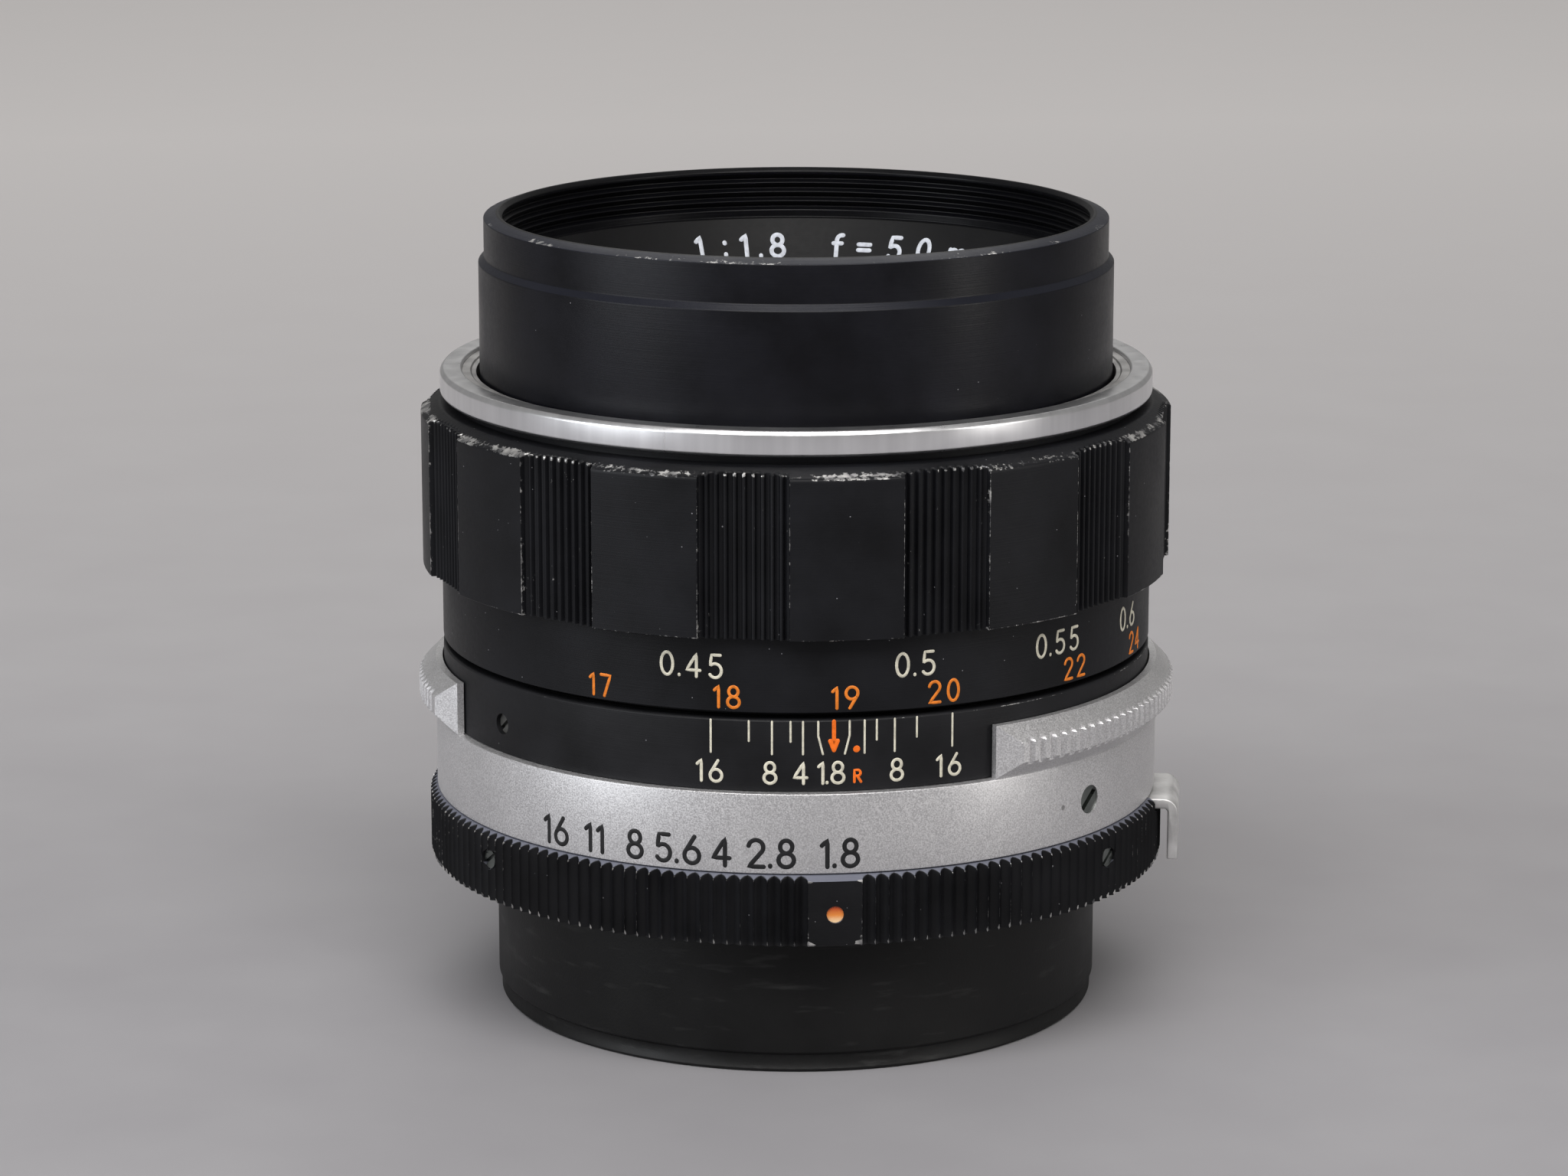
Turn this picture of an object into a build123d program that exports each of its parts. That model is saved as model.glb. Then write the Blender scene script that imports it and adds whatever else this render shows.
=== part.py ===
from build123d import *
from math import asin, atan2, copysign, cos, degrees, hypot, radians, sin, sqrt
import os

# A 50 mm prime lens that stands on its rear cap, front glass up, focused near 19 inches.
# Millimetres. +Z is the optical axis, towards the front. The origin is the middle of the
# cap's underside. Angles run from the index line at -Y towards +X.

os.makedirs("parts", exist_ok=True)

# ---- Driving dimensions: plays ----
turn_fit = 0.06            # radial play of turning fits
thread_fit = 0.08          # radial play of the plain-walled screw
seat_play = 0.05           # glass and cells in their seats
face_play = 0.05           # axial play beside turning rings
barrel_gap = 0.27          # seal ring to barrel
cement = 0.02              # cement between paired glasses
stop_play = 0.4            # air left at the ends of the barrel's travel
screw_play = 0.02          # screws and pins in their holes

# ---- Driving dimensions: glass and iris ----
front_glass_r = 16.8
front_glass_edge = 1.1465  # thickness at the edge
front_1_curve = 36.0
back_1_curve = 200.0
inner_glass_r = 14.6
rear_pair_r = 12.0
rear_glass_r = 12.6
iris_open_r = 11.2
iris_shut_r = 1.2
blade_w = 4.6
pivot_r = iris_open_r + blade_w + 0.8
iris_land = 2.65           # metal outside the iris pivots

# ---- Radial stack, from the front glass outwards ----
cell_wall = 2.45           # wall of the front cell around the front glass
inner_wall = 1.7
sleeve_wall = 1.82
skirt_air = 0.9            # sleeve to sliding barrel
skirt_wall = 0.7
lip_step = 0.43            # the front lip that takes a push-on hood is this much smaller
filter_wall = 1.9          # barrel outside to the plain wall of the 46 mm filter thread
grip_air = 0.5             # sliding barrel to grip
flange_ledge = 0.6         # overlap that holds the sleeve in the grip
housing_lap = 1.0          # the housing's shoulder under the sleeve's flange
body_wall = 0.9            # main housing beside the aperture ring
journal_wall = 0.33
scale_wall = 1.61          # distance scale over its journal
depth_ring_wall = 1.15
grip_stand = 1.5           # lands of the focus grip over the scale
aperture_wall = 2.69
lug_stand = 1.3            # serrated grip lugs over the aperture ring
mount_stand = 0.55         # knurled mount ring over the aperture ring

cell_r = max(front_glass_r + cell_wall, pivot_r + iris_land)
inner_r = cell_r + seat_play
screw_r = inner_r + inner_wall
sleeve_in_r = screw_r + thread_fit
sleeve_r = sleeve_in_r + sleeve_wall
skirt_in_r = sleeve_r + skirt_air
barrel_r = skirt_in_r + skirt_wall
lip_r = barrel_r - lip_step
filter_r = barrel_r - filter_wall
grip_in_r = barrel_r + grip_air
flange_r = grip_in_r + flange_ledge
housing_in_r = flange_r - housing_lap
housing_r = housing_in_r + body_wall
journal_r = max(flange_r + journal_wall, housing_r + journal_wall)
scale_r = journal_r + turn_fit + scale_wall
depth_seat_r = scale_r - depth_ring_wall
grip_r = scale_r + grip_stand
band_r = scale_r
aperture_r = housing_r + turn_fit + aperture_wall
lug_r = aperture_r + lug_stand
mount_r = aperture_r + mount_stand
name_wall_r = filter_r - 0.25

# ---- Driving dimensions: heights ----
cap_h = 11.4
cap_gap = 0.13
mount_ring_h = 5.35
aperture_h = 6.07
depth_ring_h = 5.4
scale_gap = 0.52
scale_h = 5.73
grip_h = 11.96
grip_cone_h = 0.72
grip_neck_h = 0.62
band_h = 1.95
barrel_stand = 11.94       # front rim above the bright band, as focused
glass_depth = 9.94         # front crown below the rim

# ---- Driving dimensions: motion ----
lead = 9.8                 # barrel travel for one turn of the focus ring
focus_in_deg = 245.5       # turn from here back to infinity
focus_out_deg = 37.7       # turn from here to the near stop
aperture_stops = (0, 9.5, 17.0, 23.8, 30.7, 37.8, 45.15)
aperture_turn = aperture_stops[-1]

travel_in = lead * focus_in_deg / 360
travel_out = lead * focus_out_deg / 360

# ---- Height of each ring, from the cap up ----
flange_z = cap_h + cap_gap
mount_top = flange_z + mount_ring_h
aperture_low = mount_top + face_play * 2
aperture_top = aperture_low + aperture_h
depth_low = aperture_top + face_play
depth_top = depth_low + depth_ring_h
scale_low = depth_top + scale_gap
grip_low = scale_low + scale_h
grip_top = grip_low + grip_h
cone_top = grip_top + grip_cone_h
neck_top = cone_top + grip_neck_h
band_top = neck_top + band_h
rim_z = band_top + barrel_stand

def sag(curve, r):
    """Drop of a glass surface from crown to radius r. A positive curve bulges forwards."""
    return copysign(abs(curve) - sqrt(curve**2 - r**2), curve)


# ---- Optics, front to back: crowns on the axis ----
front_1 = rim_z - glass_depth
back_1 = (front_1 - front_glass_edge - sag(front_1_curve, front_glass_r)
          + sag(back_1_curve, front_glass_r))
front_2 = back_1 - 0.4
back_2 = front_2 - 5.2
front_3 = back_2 - cement
back_3 = front_3 - 1.48
hollow_curve = 14.0        # the two deep hollows that face the iris
hollow_3_r = 11.0
hollow_4_r = 10.0

# ---- Heights inside the focusing unit ----
journal_top = grip_low - 1.15
journal_lip_h = 3.2
web_z = front_1 - 0.1       # floor of the name ring's well
web_h = 1.3
thread_bottom = rim_z - 4.04

sleeve_flange_low = journal_top + face_play * 2
sleeve_flange_top = sleeve_flange_low + 1.9
sleeve_top = web_z - travel_in - stop_play
skirt_low = sleeve_flange_top + travel_in + stop_play
lip_low = journal_top - journal_lip_h
retainer_h = 1.6
retainer_top = lip_low - face_play * 2
retainer_low = retainer_top - retainer_h

# ---- Rear parts ----
plate_h = 2.0
plate_top = flange_z + plate_h
mount_screw_r = 0.65
mount_head_r = 1.1
mount_screw_ring = housing_r + mount_screw_r + 0.12
mount_screw_top = mount_top - 1.7
plate_r = mount_screw_ring + mount_head_r + 0.4
throat_r = inner_r - 0.1
bayonet_r = throat_r + 1.6
bayonet_drop = 4.5
bayonet_lug_r = bayonet_r + 1.3
cap_wall = 1.2
cap_floor = 2.0
cap_r = bayonet_lug_r + 0.3 + cap_wall
seat_in_r = cap_r + 0.4    # the flange's seat lies outside the cap
seat_relief = 0.15
screw_low = plate_top + travel_in + 0.6   # rear end of the inner helicoid
key_w = 4.0
key_top = retainer_low - 0.3
key_deg = (150, 330)

# ---- Aperture drive ----
drive_deg = 45.9           # screw, arm and lever
drive_z = aperture_low + 2.75
arm_w = 4.0
arm_h = 2.0
lever_w = 1.0
lever_r = (inner_r - 1.5, inner_r - 0.5)
lug_spans = ((25.8, 107.8), (-154.2, -72.2))
prong_deg = 79.0
prong_w = 7.8
prong_t = 0.8
prong_root_r = aperture_r - 1.9
prong_in_r = mount_r + 0.6
prong_out_r = prong_in_r + prong_t
prong_top = aperture_low - 0.3
prong_low = prong_top - prong_t
prong_foot = prong_top - 4.85
prong_tab = 1.4            # root that stands up into the aperture ring
prong_slot_deg = degrees(asin(prong_w / 2 / prong_root_r)) + 0.3

# ---- Iris ----
blade_count = 6
blade_t = 0.08
blade_step = 0.125
blade_sweep = 98.0
pin_r = 0.42
pin_play = 0.05
tail_len = 2.4
tail_deg = -94.0
blade_turn = 2 * degrees(asin((iris_open_r - iris_shut_r) / (2 * pivot_r)))


def turned(*corners, sweep=360):
    """Solid turned about the optical axis from (radius, height) corners."""
    outline = Polyline(*[(0, -r, z) for r, z in corners], close=True)
    return revolve(make_face(outline), Axis.Z, sweep)


def tube(r_in, r_out, low, high):
    return turned((r_in, low), (r_out, low), (r_out, high), (r_in, high))


def sector(r_in, r_out, low, high, start, end):
    """Part of a tube between two angles."""
    piece = turned((r_in, low), (r_out, low), (r_out, high), (r_in, high), sweep=end - start)
    return Rot(0, 0, start) * piece


def radial_pin(radius, r_from, r_to, z, angle):
    """Round bar that points outwards from the axis at an angle."""
    place = Plane(origin=(0, -r_from, z), x_dir=(1, 0, 0), z_dir=(0, -1, 0))
    bar = Cylinder(radius, r_to - r_from, align=(Align.CENTER, Align.CENTER, Align.MIN))
    return Rot(0, 0, angle) * (place * bar)


def upright_pin(radius, low, high, r, angle):
    """Round bar parallel to the axis."""
    bar = Cylinder(radius, high - low, align=(Align.CENTER, Align.CENTER, Align.MIN))
    return Rot(0, 0, angle) * Pos(0, -r, low) * bar


def radial_block(width, r_from, r_to, low, high, angle):
    """Square bar that points outwards from the axis at an angle."""
    bar = Box(width, r_to - r_from, high - low, align=(Align.CENTER, Align.MAX, Align.MIN))
    return Rot(0, 0, angle) * Pos(0, -r_from, low) * bar


def polar(r, angle):
    """Point at a radius and an angle from the index."""
    return (r * sin(radians(angle)), -r * cos(radians(angle)))


def slotted(screw, length, width, depth, r_head, z, angle, tilt=0):
    """Cut a screwdriver slot in the outer end of a radial screw."""
    place = Plane(origin=(0, -r_head, z), x_dir=(1, 0, 0), z_dir=(0, -1, 0))
    cutter = place * (Rot(0, 0, tilt) * Box(length, width, depth * 2))
    return screw - Rot(0, 0, angle) * cutter


def save(node, shape):
    export_step(shape, "parts/" + node + ".step")


def group(node, solids):
    """Identical small pieces that share one node."""
    save(node, Compound(children=list(solids)))


def serrations(outer_r, depth, pitch, first, count):
    """Points of V grooves cut into an outside radius, one after the other."""
    flank = 0.43 * pitch
    points = []
    for k in range(count):
        middle = first + k * pitch
        points.append(polar(outer_r, middle - flank))
        points.append(polar(outer_r - depth, middle))
        points.append(polar(outer_r, middle + flank))
    return points


# ---- Rear cap ----
def make_rear_cap():
    inside = cap_r - cap_wall
    edge = 0.35
    cup = turned((0, 0), (cap_r - edge, 0), (cap_r, edge), (cap_r, cap_h),
                 (inside, cap_h), (inside, cap_floor), (0, cap_floor))
    save("rear_cap", cup)


# ---- Mount: bayonet plate, knurled ring and their screws ----
mount_screw_degs = (40, 130, 220, 310)
grub_z = flange_z + 3.2
grub_degs = (-60.5, 50.5, 180)
grub_r = 0.8


def make_bayonet_plate():
    bayonet_end = flange_z - bayonet_drop
    plate = tube(throat_r, plate_r, flange_z, plate_top)
    plate -= tube(throat_r - 1, seat_in_r, flange_z - 1, flange_z + seat_relief)
    plate += tube(throat_r, bayonet_r, bayonet_end, flange_z + seat_relief)
    for start in (-25, 95, 215):
        plate += sector(throat_r + 0.4, bayonet_lug_r, bayonet_end, bayonet_end + 1.6, start, start + 50)
    for angle in mount_screw_degs:
        plate -= upright_pin(mount_screw_r, flange_z - 1, plate_top + 1, mount_screw_ring, angle)
        plate -= upright_pin(mount_head_r, flange_z - 1, flange_z + 0.8, mount_screw_ring, angle)
    save("bayonet_plate", plate)


def make_mount_screws():
    screws = []
    for angle in mount_screw_degs:
        screw = upright_pin(mount_screw_r - screw_play, flange_z + 0.1, mount_screw_top,
                            mount_screw_ring, angle)
        screw += upright_pin(mount_head_r - 0.05, flange_z + 0.1, flange_z + 0.78, mount_screw_ring, angle)
        slot = Box(mount_head_r * 2.5, 0.3, 0.8)
        screw -= Rot(0, 0, angle) * Pos(0, -mount_screw_ring, flange_z + 0.1) * slot
        screws.append(screw)
    group("mount_screws", screws)


def make_mount_ring():
    tooth_depth = 0.45
    tooth_pitch = 2.0
    flat_deg = 4.0             # plain land each side of the index dot
    bevel_in = 0.5
    bevel_h = 0.28
    grooves = int((360 - 2 * flat_deg) / tooth_pitch)
    first = flat_deg + tooth_pitch / 2
    points = [polar(mount_r, a) for a in (-3, -1.5, 0, 1.5, 3)]
    points += serrations(mount_r, tooth_depth, tooth_pitch, first, grooves)
    blank = extrude(make_face(Polyline(*points, close=True)), mount_ring_h)
    profile = turned((housing_r, flange_z), (mount_r - 0.2, flange_z), (mount_r, flange_z + 0.2),
                     (mount_r, mount_top - bevel_h), (mount_r - bevel_in, mount_top), (housing_r, mount_top))
    ring = (Pos(0, 0, flange_z) * blank) & profile
    ring -= tube(housing_r - 1, plate_r, flange_z - 1, plate_top)
    for angle in mount_screw_degs:
        ring -= upright_pin(mount_screw_r, flange_z, mount_screw_top + 0.1, mount_screw_ring, angle)
    for angle in grub_degs:
        ring -= radial_pin(grub_r, housing_r - 1, mount_r + 1, grub_z, angle)
    ring -= radial_pin(dot_r, mount_r - dot_depth, mount_r + 1, dot_z, 0)
    ring -= sector(prong_root_r - 0.3, mount_r + 1, prong_low - 0.3, mount_top + 1,
                   prong_deg - prong_slot_deg, prong_deg + aperture_turn + prong_slot_deg)
    save("mount_ring", ring)


dot_r = 0.65
dot_depth = 0.5
dot_z = flange_z + 2.47


def make_mount_details():
    grubs = []
    for angle in grub_degs:
        grub = radial_pin(grub_r - screw_play, housing_r, mount_r - 0.7, grub_z, angle)
        grubs.append(slotted(grub, grub_r * 2, 0.3, 0.4, mount_r - 0.7, grub_z, angle, 25))
    group("mount_ring_screws", grubs)
    save("index_dot", radial_pin(dot_r - screw_play, mount_r - dot_depth, mount_r - 0.12, dot_z, 0))


# ---- Main housing: the fixed tube that carries everything ----
ball_r = 0.8
ball_deg = -90.0
ball_z = aperture_top - 1.55
ball_reach = 0.3
stop_pin_r = 0.7
stop_pin_ring = (sleeve_r + flange_r) / 2
stop_pin_deg = 200.0
depth_screw_degs = (-59.2, 60.8, 180.8)
depth_screw_z = depth_low + 2.2
depth_screw_r = 0.8


def make_main_housing():
    housing = turned((housing_in_r, plate_top), (housing_r, plate_top), (housing_r, depth_low),
                     (depth_seat_r, depth_low), (depth_seat_r, depth_top), (journal_r, depth_top),
                     (journal_r, journal_top), (sleeve_r + turn_fit, journal_top),
                     (sleeve_r + turn_fit, lip_low), (housing_in_r, lip_low))
    arm_half = degrees(asin(arm_w / 2 / housing_in_r)) + 1.0
    window_low = drive_z - arm_h / 2 - 0.3
    window_top = drive_z + arm_h / 2 + 0.3
    housing -= sector(housing_in_r - 0.5, housing_r + 0.5, window_low, window_top,
                      drive_deg - arm_half, drive_deg + aperture_turn + arm_half)
    housing -= radial_pin(ball_r + screw_play, housing_in_r - 1, housing_r + 1, ball_z, ball_deg)
    housing -= upright_pin(stop_pin_r, lip_low - 1, journal_top + 1, stop_pin_ring, stop_pin_deg)
    for angle in depth_screw_degs:
        housing -= radial_pin(depth_screw_r, housing_in_r + 0.6, depth_seat_r + 1, depth_screw_z, angle)
    for angle in key_deg:
        for z in key_screw_heights:
            housing -= radial_pin(key_screw_r, housing_in_r - 1, housing_in_r + 0.6, z, angle)
    save("main_housing", housing)


def make_depth_scale_ring():
    bevel = 0.15
    ring = turned((depth_seat_r, depth_low), (scale_r, depth_low), (scale_r, depth_top - bevel),
                  (scale_r - bevel, depth_top), (depth_seat_r, depth_top))
    screws = []
    for angle in depth_screw_degs:
        ring -= radial_pin(depth_screw_r, depth_seat_r - 1, scale_r + 1, depth_screw_z, angle)
        screw = radial_pin(depth_screw_r - screw_play, housing_in_r + 0.62, scale_r - 0.35,
                           depth_screw_z, angle)
        screws.append(slotted(screw, depth_screw_r * 2, 0.3, 0.3, scale_r - 0.35, depth_screw_z, angle, 40))
    save("depth_scale_ring", ring)
    group("depth_ring_screws", screws)


# ---- Guide keys stop the barrel from turning ----
key_screw_r = 0.5
key_in_r = inner_r + 0.4
key_screw_heights = (plate_top + 3.5, key_top - 3.5)


def make_guide_keys():
    keys = []
    screws = []
    for angle in key_deg:
        bar = radial_block(key_w, key_in_r, housing_in_r, plate_top + 0.1, key_top, angle)
        bar &= tube(key_in_r - 1, housing_in_r, plate_top, key_top)
        for z in key_screw_heights:
            bar -= radial_pin(key_screw_r, key_in_r - 1, housing_in_r + 1, z, angle)
            bar -= radial_pin(key_screw_r * 1.8, key_in_r - 1, key_in_r + 0.7, z, angle)
            screw = radial_pin(key_screw_r - screw_play, key_in_r + 0.3, housing_in_r + 0.58, z, angle)
            screw += radial_pin(key_screw_r * 1.8 - 0.03, key_in_r + 0.3, key_in_r + 0.68, z, angle)
            screws.append(screw)
        keys.append(bar)
    group("guide_keys", keys)
    group("guide_key_screws", screws)


# ---- Click stop of the aperture ring, and the stop pin of the focus ring ----
def make_stops():
    centre_r = housing_r + ball_reach - ball_r
    x, y = polar(centre_r, ball_deg)
    save("click_ball", Pos(x, y, ball_z) * Sphere(ball_r))
    seat_back = ball_r * 0.62
    seat_r = sqrt(ball_r**2 - seat_back**2) + 0.02
    spring_out = centre_r - seat_back
    leaf = sector(spring_out - 0.2, spring_out, ball_z - 0.8, ball_z + 0.8, ball_deg - 14, ball_deg + 14)
    leaf -= radial_pin(seat_r, spring_out - 1, spring_out + 1, ball_z, ball_deg)
    foot = sector(spring_out - 0.2, housing_in_r, ball_z - 0.8, ball_z + 0.8, ball_deg - 17, ball_deg - 14)
    save("click_spring", leaf + foot)
    pin = upright_pin(stop_pin_r - screw_play, lip_low + 0.2, sleeve_flange_low + 1.0,
                      stop_pin_ring, stop_pin_deg)
    save("focus_stop_pin", pin)


# ---- Aperture ring with its two serrated lugs ----
lug_low = aperture_top + 0.05
lug_top = lug_low + 4.05
lug_in_r = scale_r + 0.15
lug_ramp_deg = 3.2
drive_screw_r = 1.1


def make_lug(start, end):
    first = start + lug_ramp_deg + 1.5
    grooves = int((end - start - 2 * lug_ramp_deg - 2) / 2)
    points = [(0, 0), polar(aperture_r + 0.05, start), polar(lug_r, start + lug_ramp_deg)]
    points += serrations(lug_r, 0.25, 2.0, first, grooves)
    points += [polar(lug_r, end - lug_ramp_deg), polar(aperture_r + 0.05, end)]
    face = make_face(Polyline(*points, close=True))
    blank = Pos(0, 0, aperture_low) * extrude(face, lug_top - aperture_low + 1)
    slope = lug_r - aperture_r
    profile = turned((lug_in_r, aperture_top - 0.5), (aperture_r, aperture_top - 0.5), (aperture_r, lug_low),
                     (lug_r, lug_low + slope), (lug_r, lug_top - slope + 0.05), (aperture_r, lug_top),
                     (lug_in_r, lug_top))
    return blank & profile


def make_aperture_ring():
    bore = housing_r + turn_fit
    ring = turned((bore, aperture_low), (aperture_r - 0.12, aperture_low), (aperture_r, aperture_low + 0.12),
                  (aperture_r, aperture_top), (bore, aperture_top))
    for start, end in lug_spans:
        ring += make_lug(start, end)
    track = bore + ball_reach + 0.1
    ring -= sector(bore - 0.5, track, ball_z - ball_r - 0.1, ball_z + ball_r + 0.1,
                   ball_deg - aperture_turn - 3, ball_deg + 3)
    for stop in aperture_stops:
        ring -= upright_pin(0.5, ball_z - ball_r, ball_z + ball_r, track - 0.35, ball_deg - stop)
    ring -= radial_pin(drive_screw_r, bore - 1, aperture_r + 1, drive_z, drive_deg)
    ring -= radial_block(prong_w + 0.04, prong_root_r - 0.02, prong_root_r + prong_tab + 0.02,
                         aperture_low - 1, aperture_low + prong_t + 0.02, prong_deg)
    for side in (-1, 1):
        ring -= upright_pin(prong_screw_r, aperture_low, aperture_low + 2.6,
                            prong_root_r + prong_tab / 2, prong_deg + side * prong_screw_deg)
    save("aperture_ring", ring)


def make_aperture_drive():
    screw_tip = housing_r - 2.4
    screw = radial_pin(drive_screw_r - screw_play, screw_tip + 0.2, aperture_r - 0.12, drive_z, drive_deg)
    screw = slotted(screw, drive_screw_r * 2, 0.45, 0.4, aperture_r - 0.12, drive_z, drive_deg, 40)
    arm_low = drive_z - arm_h / 2
    arm_top = drive_z + arm_h / 2
    arm = radial_block(arm_w, lever_r[0] - 0.2, housing_r + turn_fit, arm_low, arm_top, drive_deg)
    arm &= tube(lever_r[0] - 1, housing_r + turn_fit, arm_low, arm_top)
    arm -= radial_pin(drive_screw_r * 0.7, screw_tip, housing_r + 1, drive_z, drive_deg)
    arm -= radial_block(lever_w + 0.08, lever_r[0] - 1, lever_r[1] + 0.15, arm_low - 1, arm_top + 1, drive_deg)
    save("aperture_drive_arm", arm)
    neck = radial_pin(drive_screw_r + 1, screw_tip, housing_r + turn_fit, drive_z, drive_deg)
    neck -= radial_pin(drive_screw_r * 0.7 - 0.02, screw_tip - 1, housing_r + 1, drive_z, drive_deg)
    save("aperture_screw", screw - neck)


# ---- Coupling prong under the aperture ring ----
prong_screw_r = 0.4
prong_screw_deg = 5.2


def make_prong():
    arm = radial_block(prong_w, prong_root_r, prong_out_r, prong_low, prong_top, prong_deg)
    leg = radial_block(prong_w, prong_in_r, prong_out_r, prong_foot, prong_top, prong_deg)
    prong = arm + leg
    top_edges = prong.edges().filter_by(lambda e: abs(e.center().Z - prong_top) < 0.01)
    bend = top_edges.sort_by(lambda e: hypot(e.center().X, e.center().Y))[-1]
    prong = fillet(bend, prong_t * 0.9)
    prong += radial_block(prong_w, prong_root_r, prong_root_r + prong_tab, prong_low,
                          aperture_low + prong_t, prong_deg)
    screws = []
    for side in (-1, 1):
        place = (prong_root_r + prong_tab / 2, prong_deg + side * prong_screw_deg)
        prong -= upright_pin(prong_screw_r, prong_low - 1, aperture_low + 2, *place)
        screws.append(upright_pin(prong_screw_r - screw_play, prong_low + 0.02, aperture_low + 2.5, *place))
    save("coupling_prong", prong)
    group("prong_screws", screws)


# ---- Focus ring: fluted grip, bright band, seal ring, sleeve and its retainer ----
flute_count = 12
flute_first_deg = 16.6
flute_deg = 13.4
flute_depth = 0.65
flute_step = 0.12


def make_focus_grip():
    neck_r = grip_r - 2.5
    cone_r = grip_r - 1.4
    grip = turned((journal_r + turn_fit, scale_low), (scale_r, scale_low), (scale_r, grip_low),
                  (grip_r, grip_low), (grip_r, grip_top), (cone_r, cone_top), (neck_r, cone_top),
                  (neck_r, neck_top), (grip_in_r, neck_top), (grip_in_r, sleeve_flange_top),
                  (flange_r, sleeve_flange_top), (flange_r, sleeve_flange_low),
                  (journal_r + turn_fit, sleeve_flange_low))
    half = radians(flute_deg / 2)
    half_chord = grip_r * sin(half)
    rise = grip_r * cos(half) - flute_step - (grip_r - flute_depth)
    curve_r = (half_chord**2 + rise**2) / (2 * rise)
    height = cone_top - grip_low + 0.2
    round_bar = Cylinder(curve_r, height, align=(Align.CENTER, Align.CENTER, Align.MIN))
    slab = Box(2 * half_chord, 6, height, align=(Align.CENTER, Align.CENTER, Align.MIN))
    cutter = (Pos(0, -(grip_r - flute_depth + curve_r), 0) * round_bar) & (Pos(0, -grip_r, 0) * slab)
    cutter = Pos(0, 0, grip_low - 0.1) * cutter
    for k in range(flute_count):
        grip -= Rot(0, 0, flute_first_deg + k * 360 / flute_count) * cutter
    save("focus_grip", grip)


def make_bright_band():
    seal_r = band_r - 1.7
    bevel = 0.22
    band = turned((seal_r, neck_top), (band_r - bevel, neck_top), (band_r, neck_top + bevel),
                  (band_r, band_top - bevel), (band_r - bevel, band_top), (seal_r, band_top))
    seal = tube(barrel_r + barrel_gap, seal_r, neck_top, band_top - 0.28)
    save("bright_band", band)
    save("dust_seal_ring", seal)


def make_focus_sleeve():
    sleeve = turned((sleeve_in_r, retainer_low - 0.1), (sleeve_r, retainer_low - 0.1),
                    (sleeve_r, sleeve_flange_low), (flange_r, sleeve_flange_low),
                    (flange_r, sleeve_flange_top), (sleeve_r, sleeve_flange_top),
                    (sleeve_r, sleeve_top), (sleeve_in_r, sleeve_top))
    spare = degrees(asin(stop_pin_r / stop_pin_ring)) + 0.3
    groove = sector(stop_pin_ring - stop_pin_r - 0.1, stop_pin_ring + stop_pin_r + 0.1,
                    sleeve_flange_low - 0.5, sleeve_flange_low + 1.2,
                    stop_pin_deg - focus_out_deg - spare, stop_pin_deg + focus_in_deg + spare)
    save("focus_sleeve", sleeve - groove)
    save("sleeve_retaining_ring", tube(sleeve_r, housing_in_r - 0.4, retainer_low, retainer_top))


# ---- Sliding barrel ----
def make_front_barrel():
    wall_in = screw_r + 0.2
    barrel = turned((wall_in, web_z), (skirt_in_r, web_z), (skirt_in_r, skirt_low), (barrel_r, skirt_low),
                    (barrel_r, rim_z - 3.75), (lip_r, rim_z - 3.27), (lip_r, rim_z - 0.37),
                    (filter_r + 0.3, rim_z), (filter_r, rim_z - 0.3), (filter_r, thread_bottom),
                    (name_wall_r, thread_bottom), (name_wall_r, web_z + web_h), (wall_in, web_z + web_h))
    save("front_barrel", barrel)


def make_name_ring():
    low = web_z + web_h + 0.05
    ring = turned((filter_r - 3.0, low), (name_wall_r - 0.02, low), (name_wall_r - 0.02, thread_bottom),
                  (filter_r - 0.6, thread_bottom), (filter_r - 3.0, low + 0.1))
    save("name_ring", ring)


def make_inner_helicoid():
    tube_top = web_z + web_h
    tube_body = turned((inner_r, screw_low), (screw_r, screw_low), (screw_r, web_z),
                       (screw_r + 0.2, web_z), (screw_r + 0.2, tube_top), (inner_r, tube_top))
    for angle in key_deg:
        tube_body -= radial_block(key_w + 0.1, inner_r - 1, screw_r + 1, screw_low - 1,
                                  key_top + travel_in + stop_play, angle)
    arm_half = degrees(asin(arm_w / 2 / inner_r)) + 1.0
    tube_body -= sector(inner_r - 1, screw_r + 1, screw_low - 1, drive_z + arm_h / 2 + travel_in + stop_play,
                        drive_deg - arm_half, drive_deg + aperture_turn + arm_half)
    save("inner_helicoid", tube_body)


# ---- Glass ----
def glass(rim, front, front_curve, back, back_curve, front_bowl=None, back_bowl=None):
    """One element. A bowl radius leaves a flat ground land out to the rim."""
    fr = front_bowl or rim
    br = back_bowl or rim
    front_edge = front - sag(front_curve, fr)
    back_edge = back - sag(back_curve, br)
    edges = [ThreePointArc((0, 0, front), (0, -fr / 2, front - sag(front_curve, fr / 2)), (0, -fr, front_edge))]
    if fr < rim:
        edges.append(Line((0, -fr, front_edge), (0, -rim, front_edge)))
    edges.append(Line((0, -rim, front_edge), (0, -rim, back_edge)))
    if br < rim:
        edges.append(Line((0, -rim, back_edge), (0, -br, back_edge)))
    edges.append(ThreePointArc((0, -br, back_edge), (0, -br / 2, back - sag(back_curve, br / 2)), (0, 0, back)))
    edges.append(Line((0, 0, back), (0, 0, front)))
    return revolve(make_face(edges), Axis.Z)


front_2_curve = 22.0
back_2_curve = 60.0
land_3 = back_3 - sag(hollow_curve, hollow_3_r)
cell_lip_h = 0.46

# Iris stack, hung under the third glass
base_top = land_3 - cell_lip_h - 0.13
base_t = 0.8
base_low = base_top - base_t
blade_first = base_low - 0.06 - blade_t
stack_h = blade_step * (blade_count - 1) + blade_t + 0.2
cam_top = base_low - stack_h
cam_t = 0.7
cam_low = cam_top - cam_t
cell_flange_top = cam_low - 0.2

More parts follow.
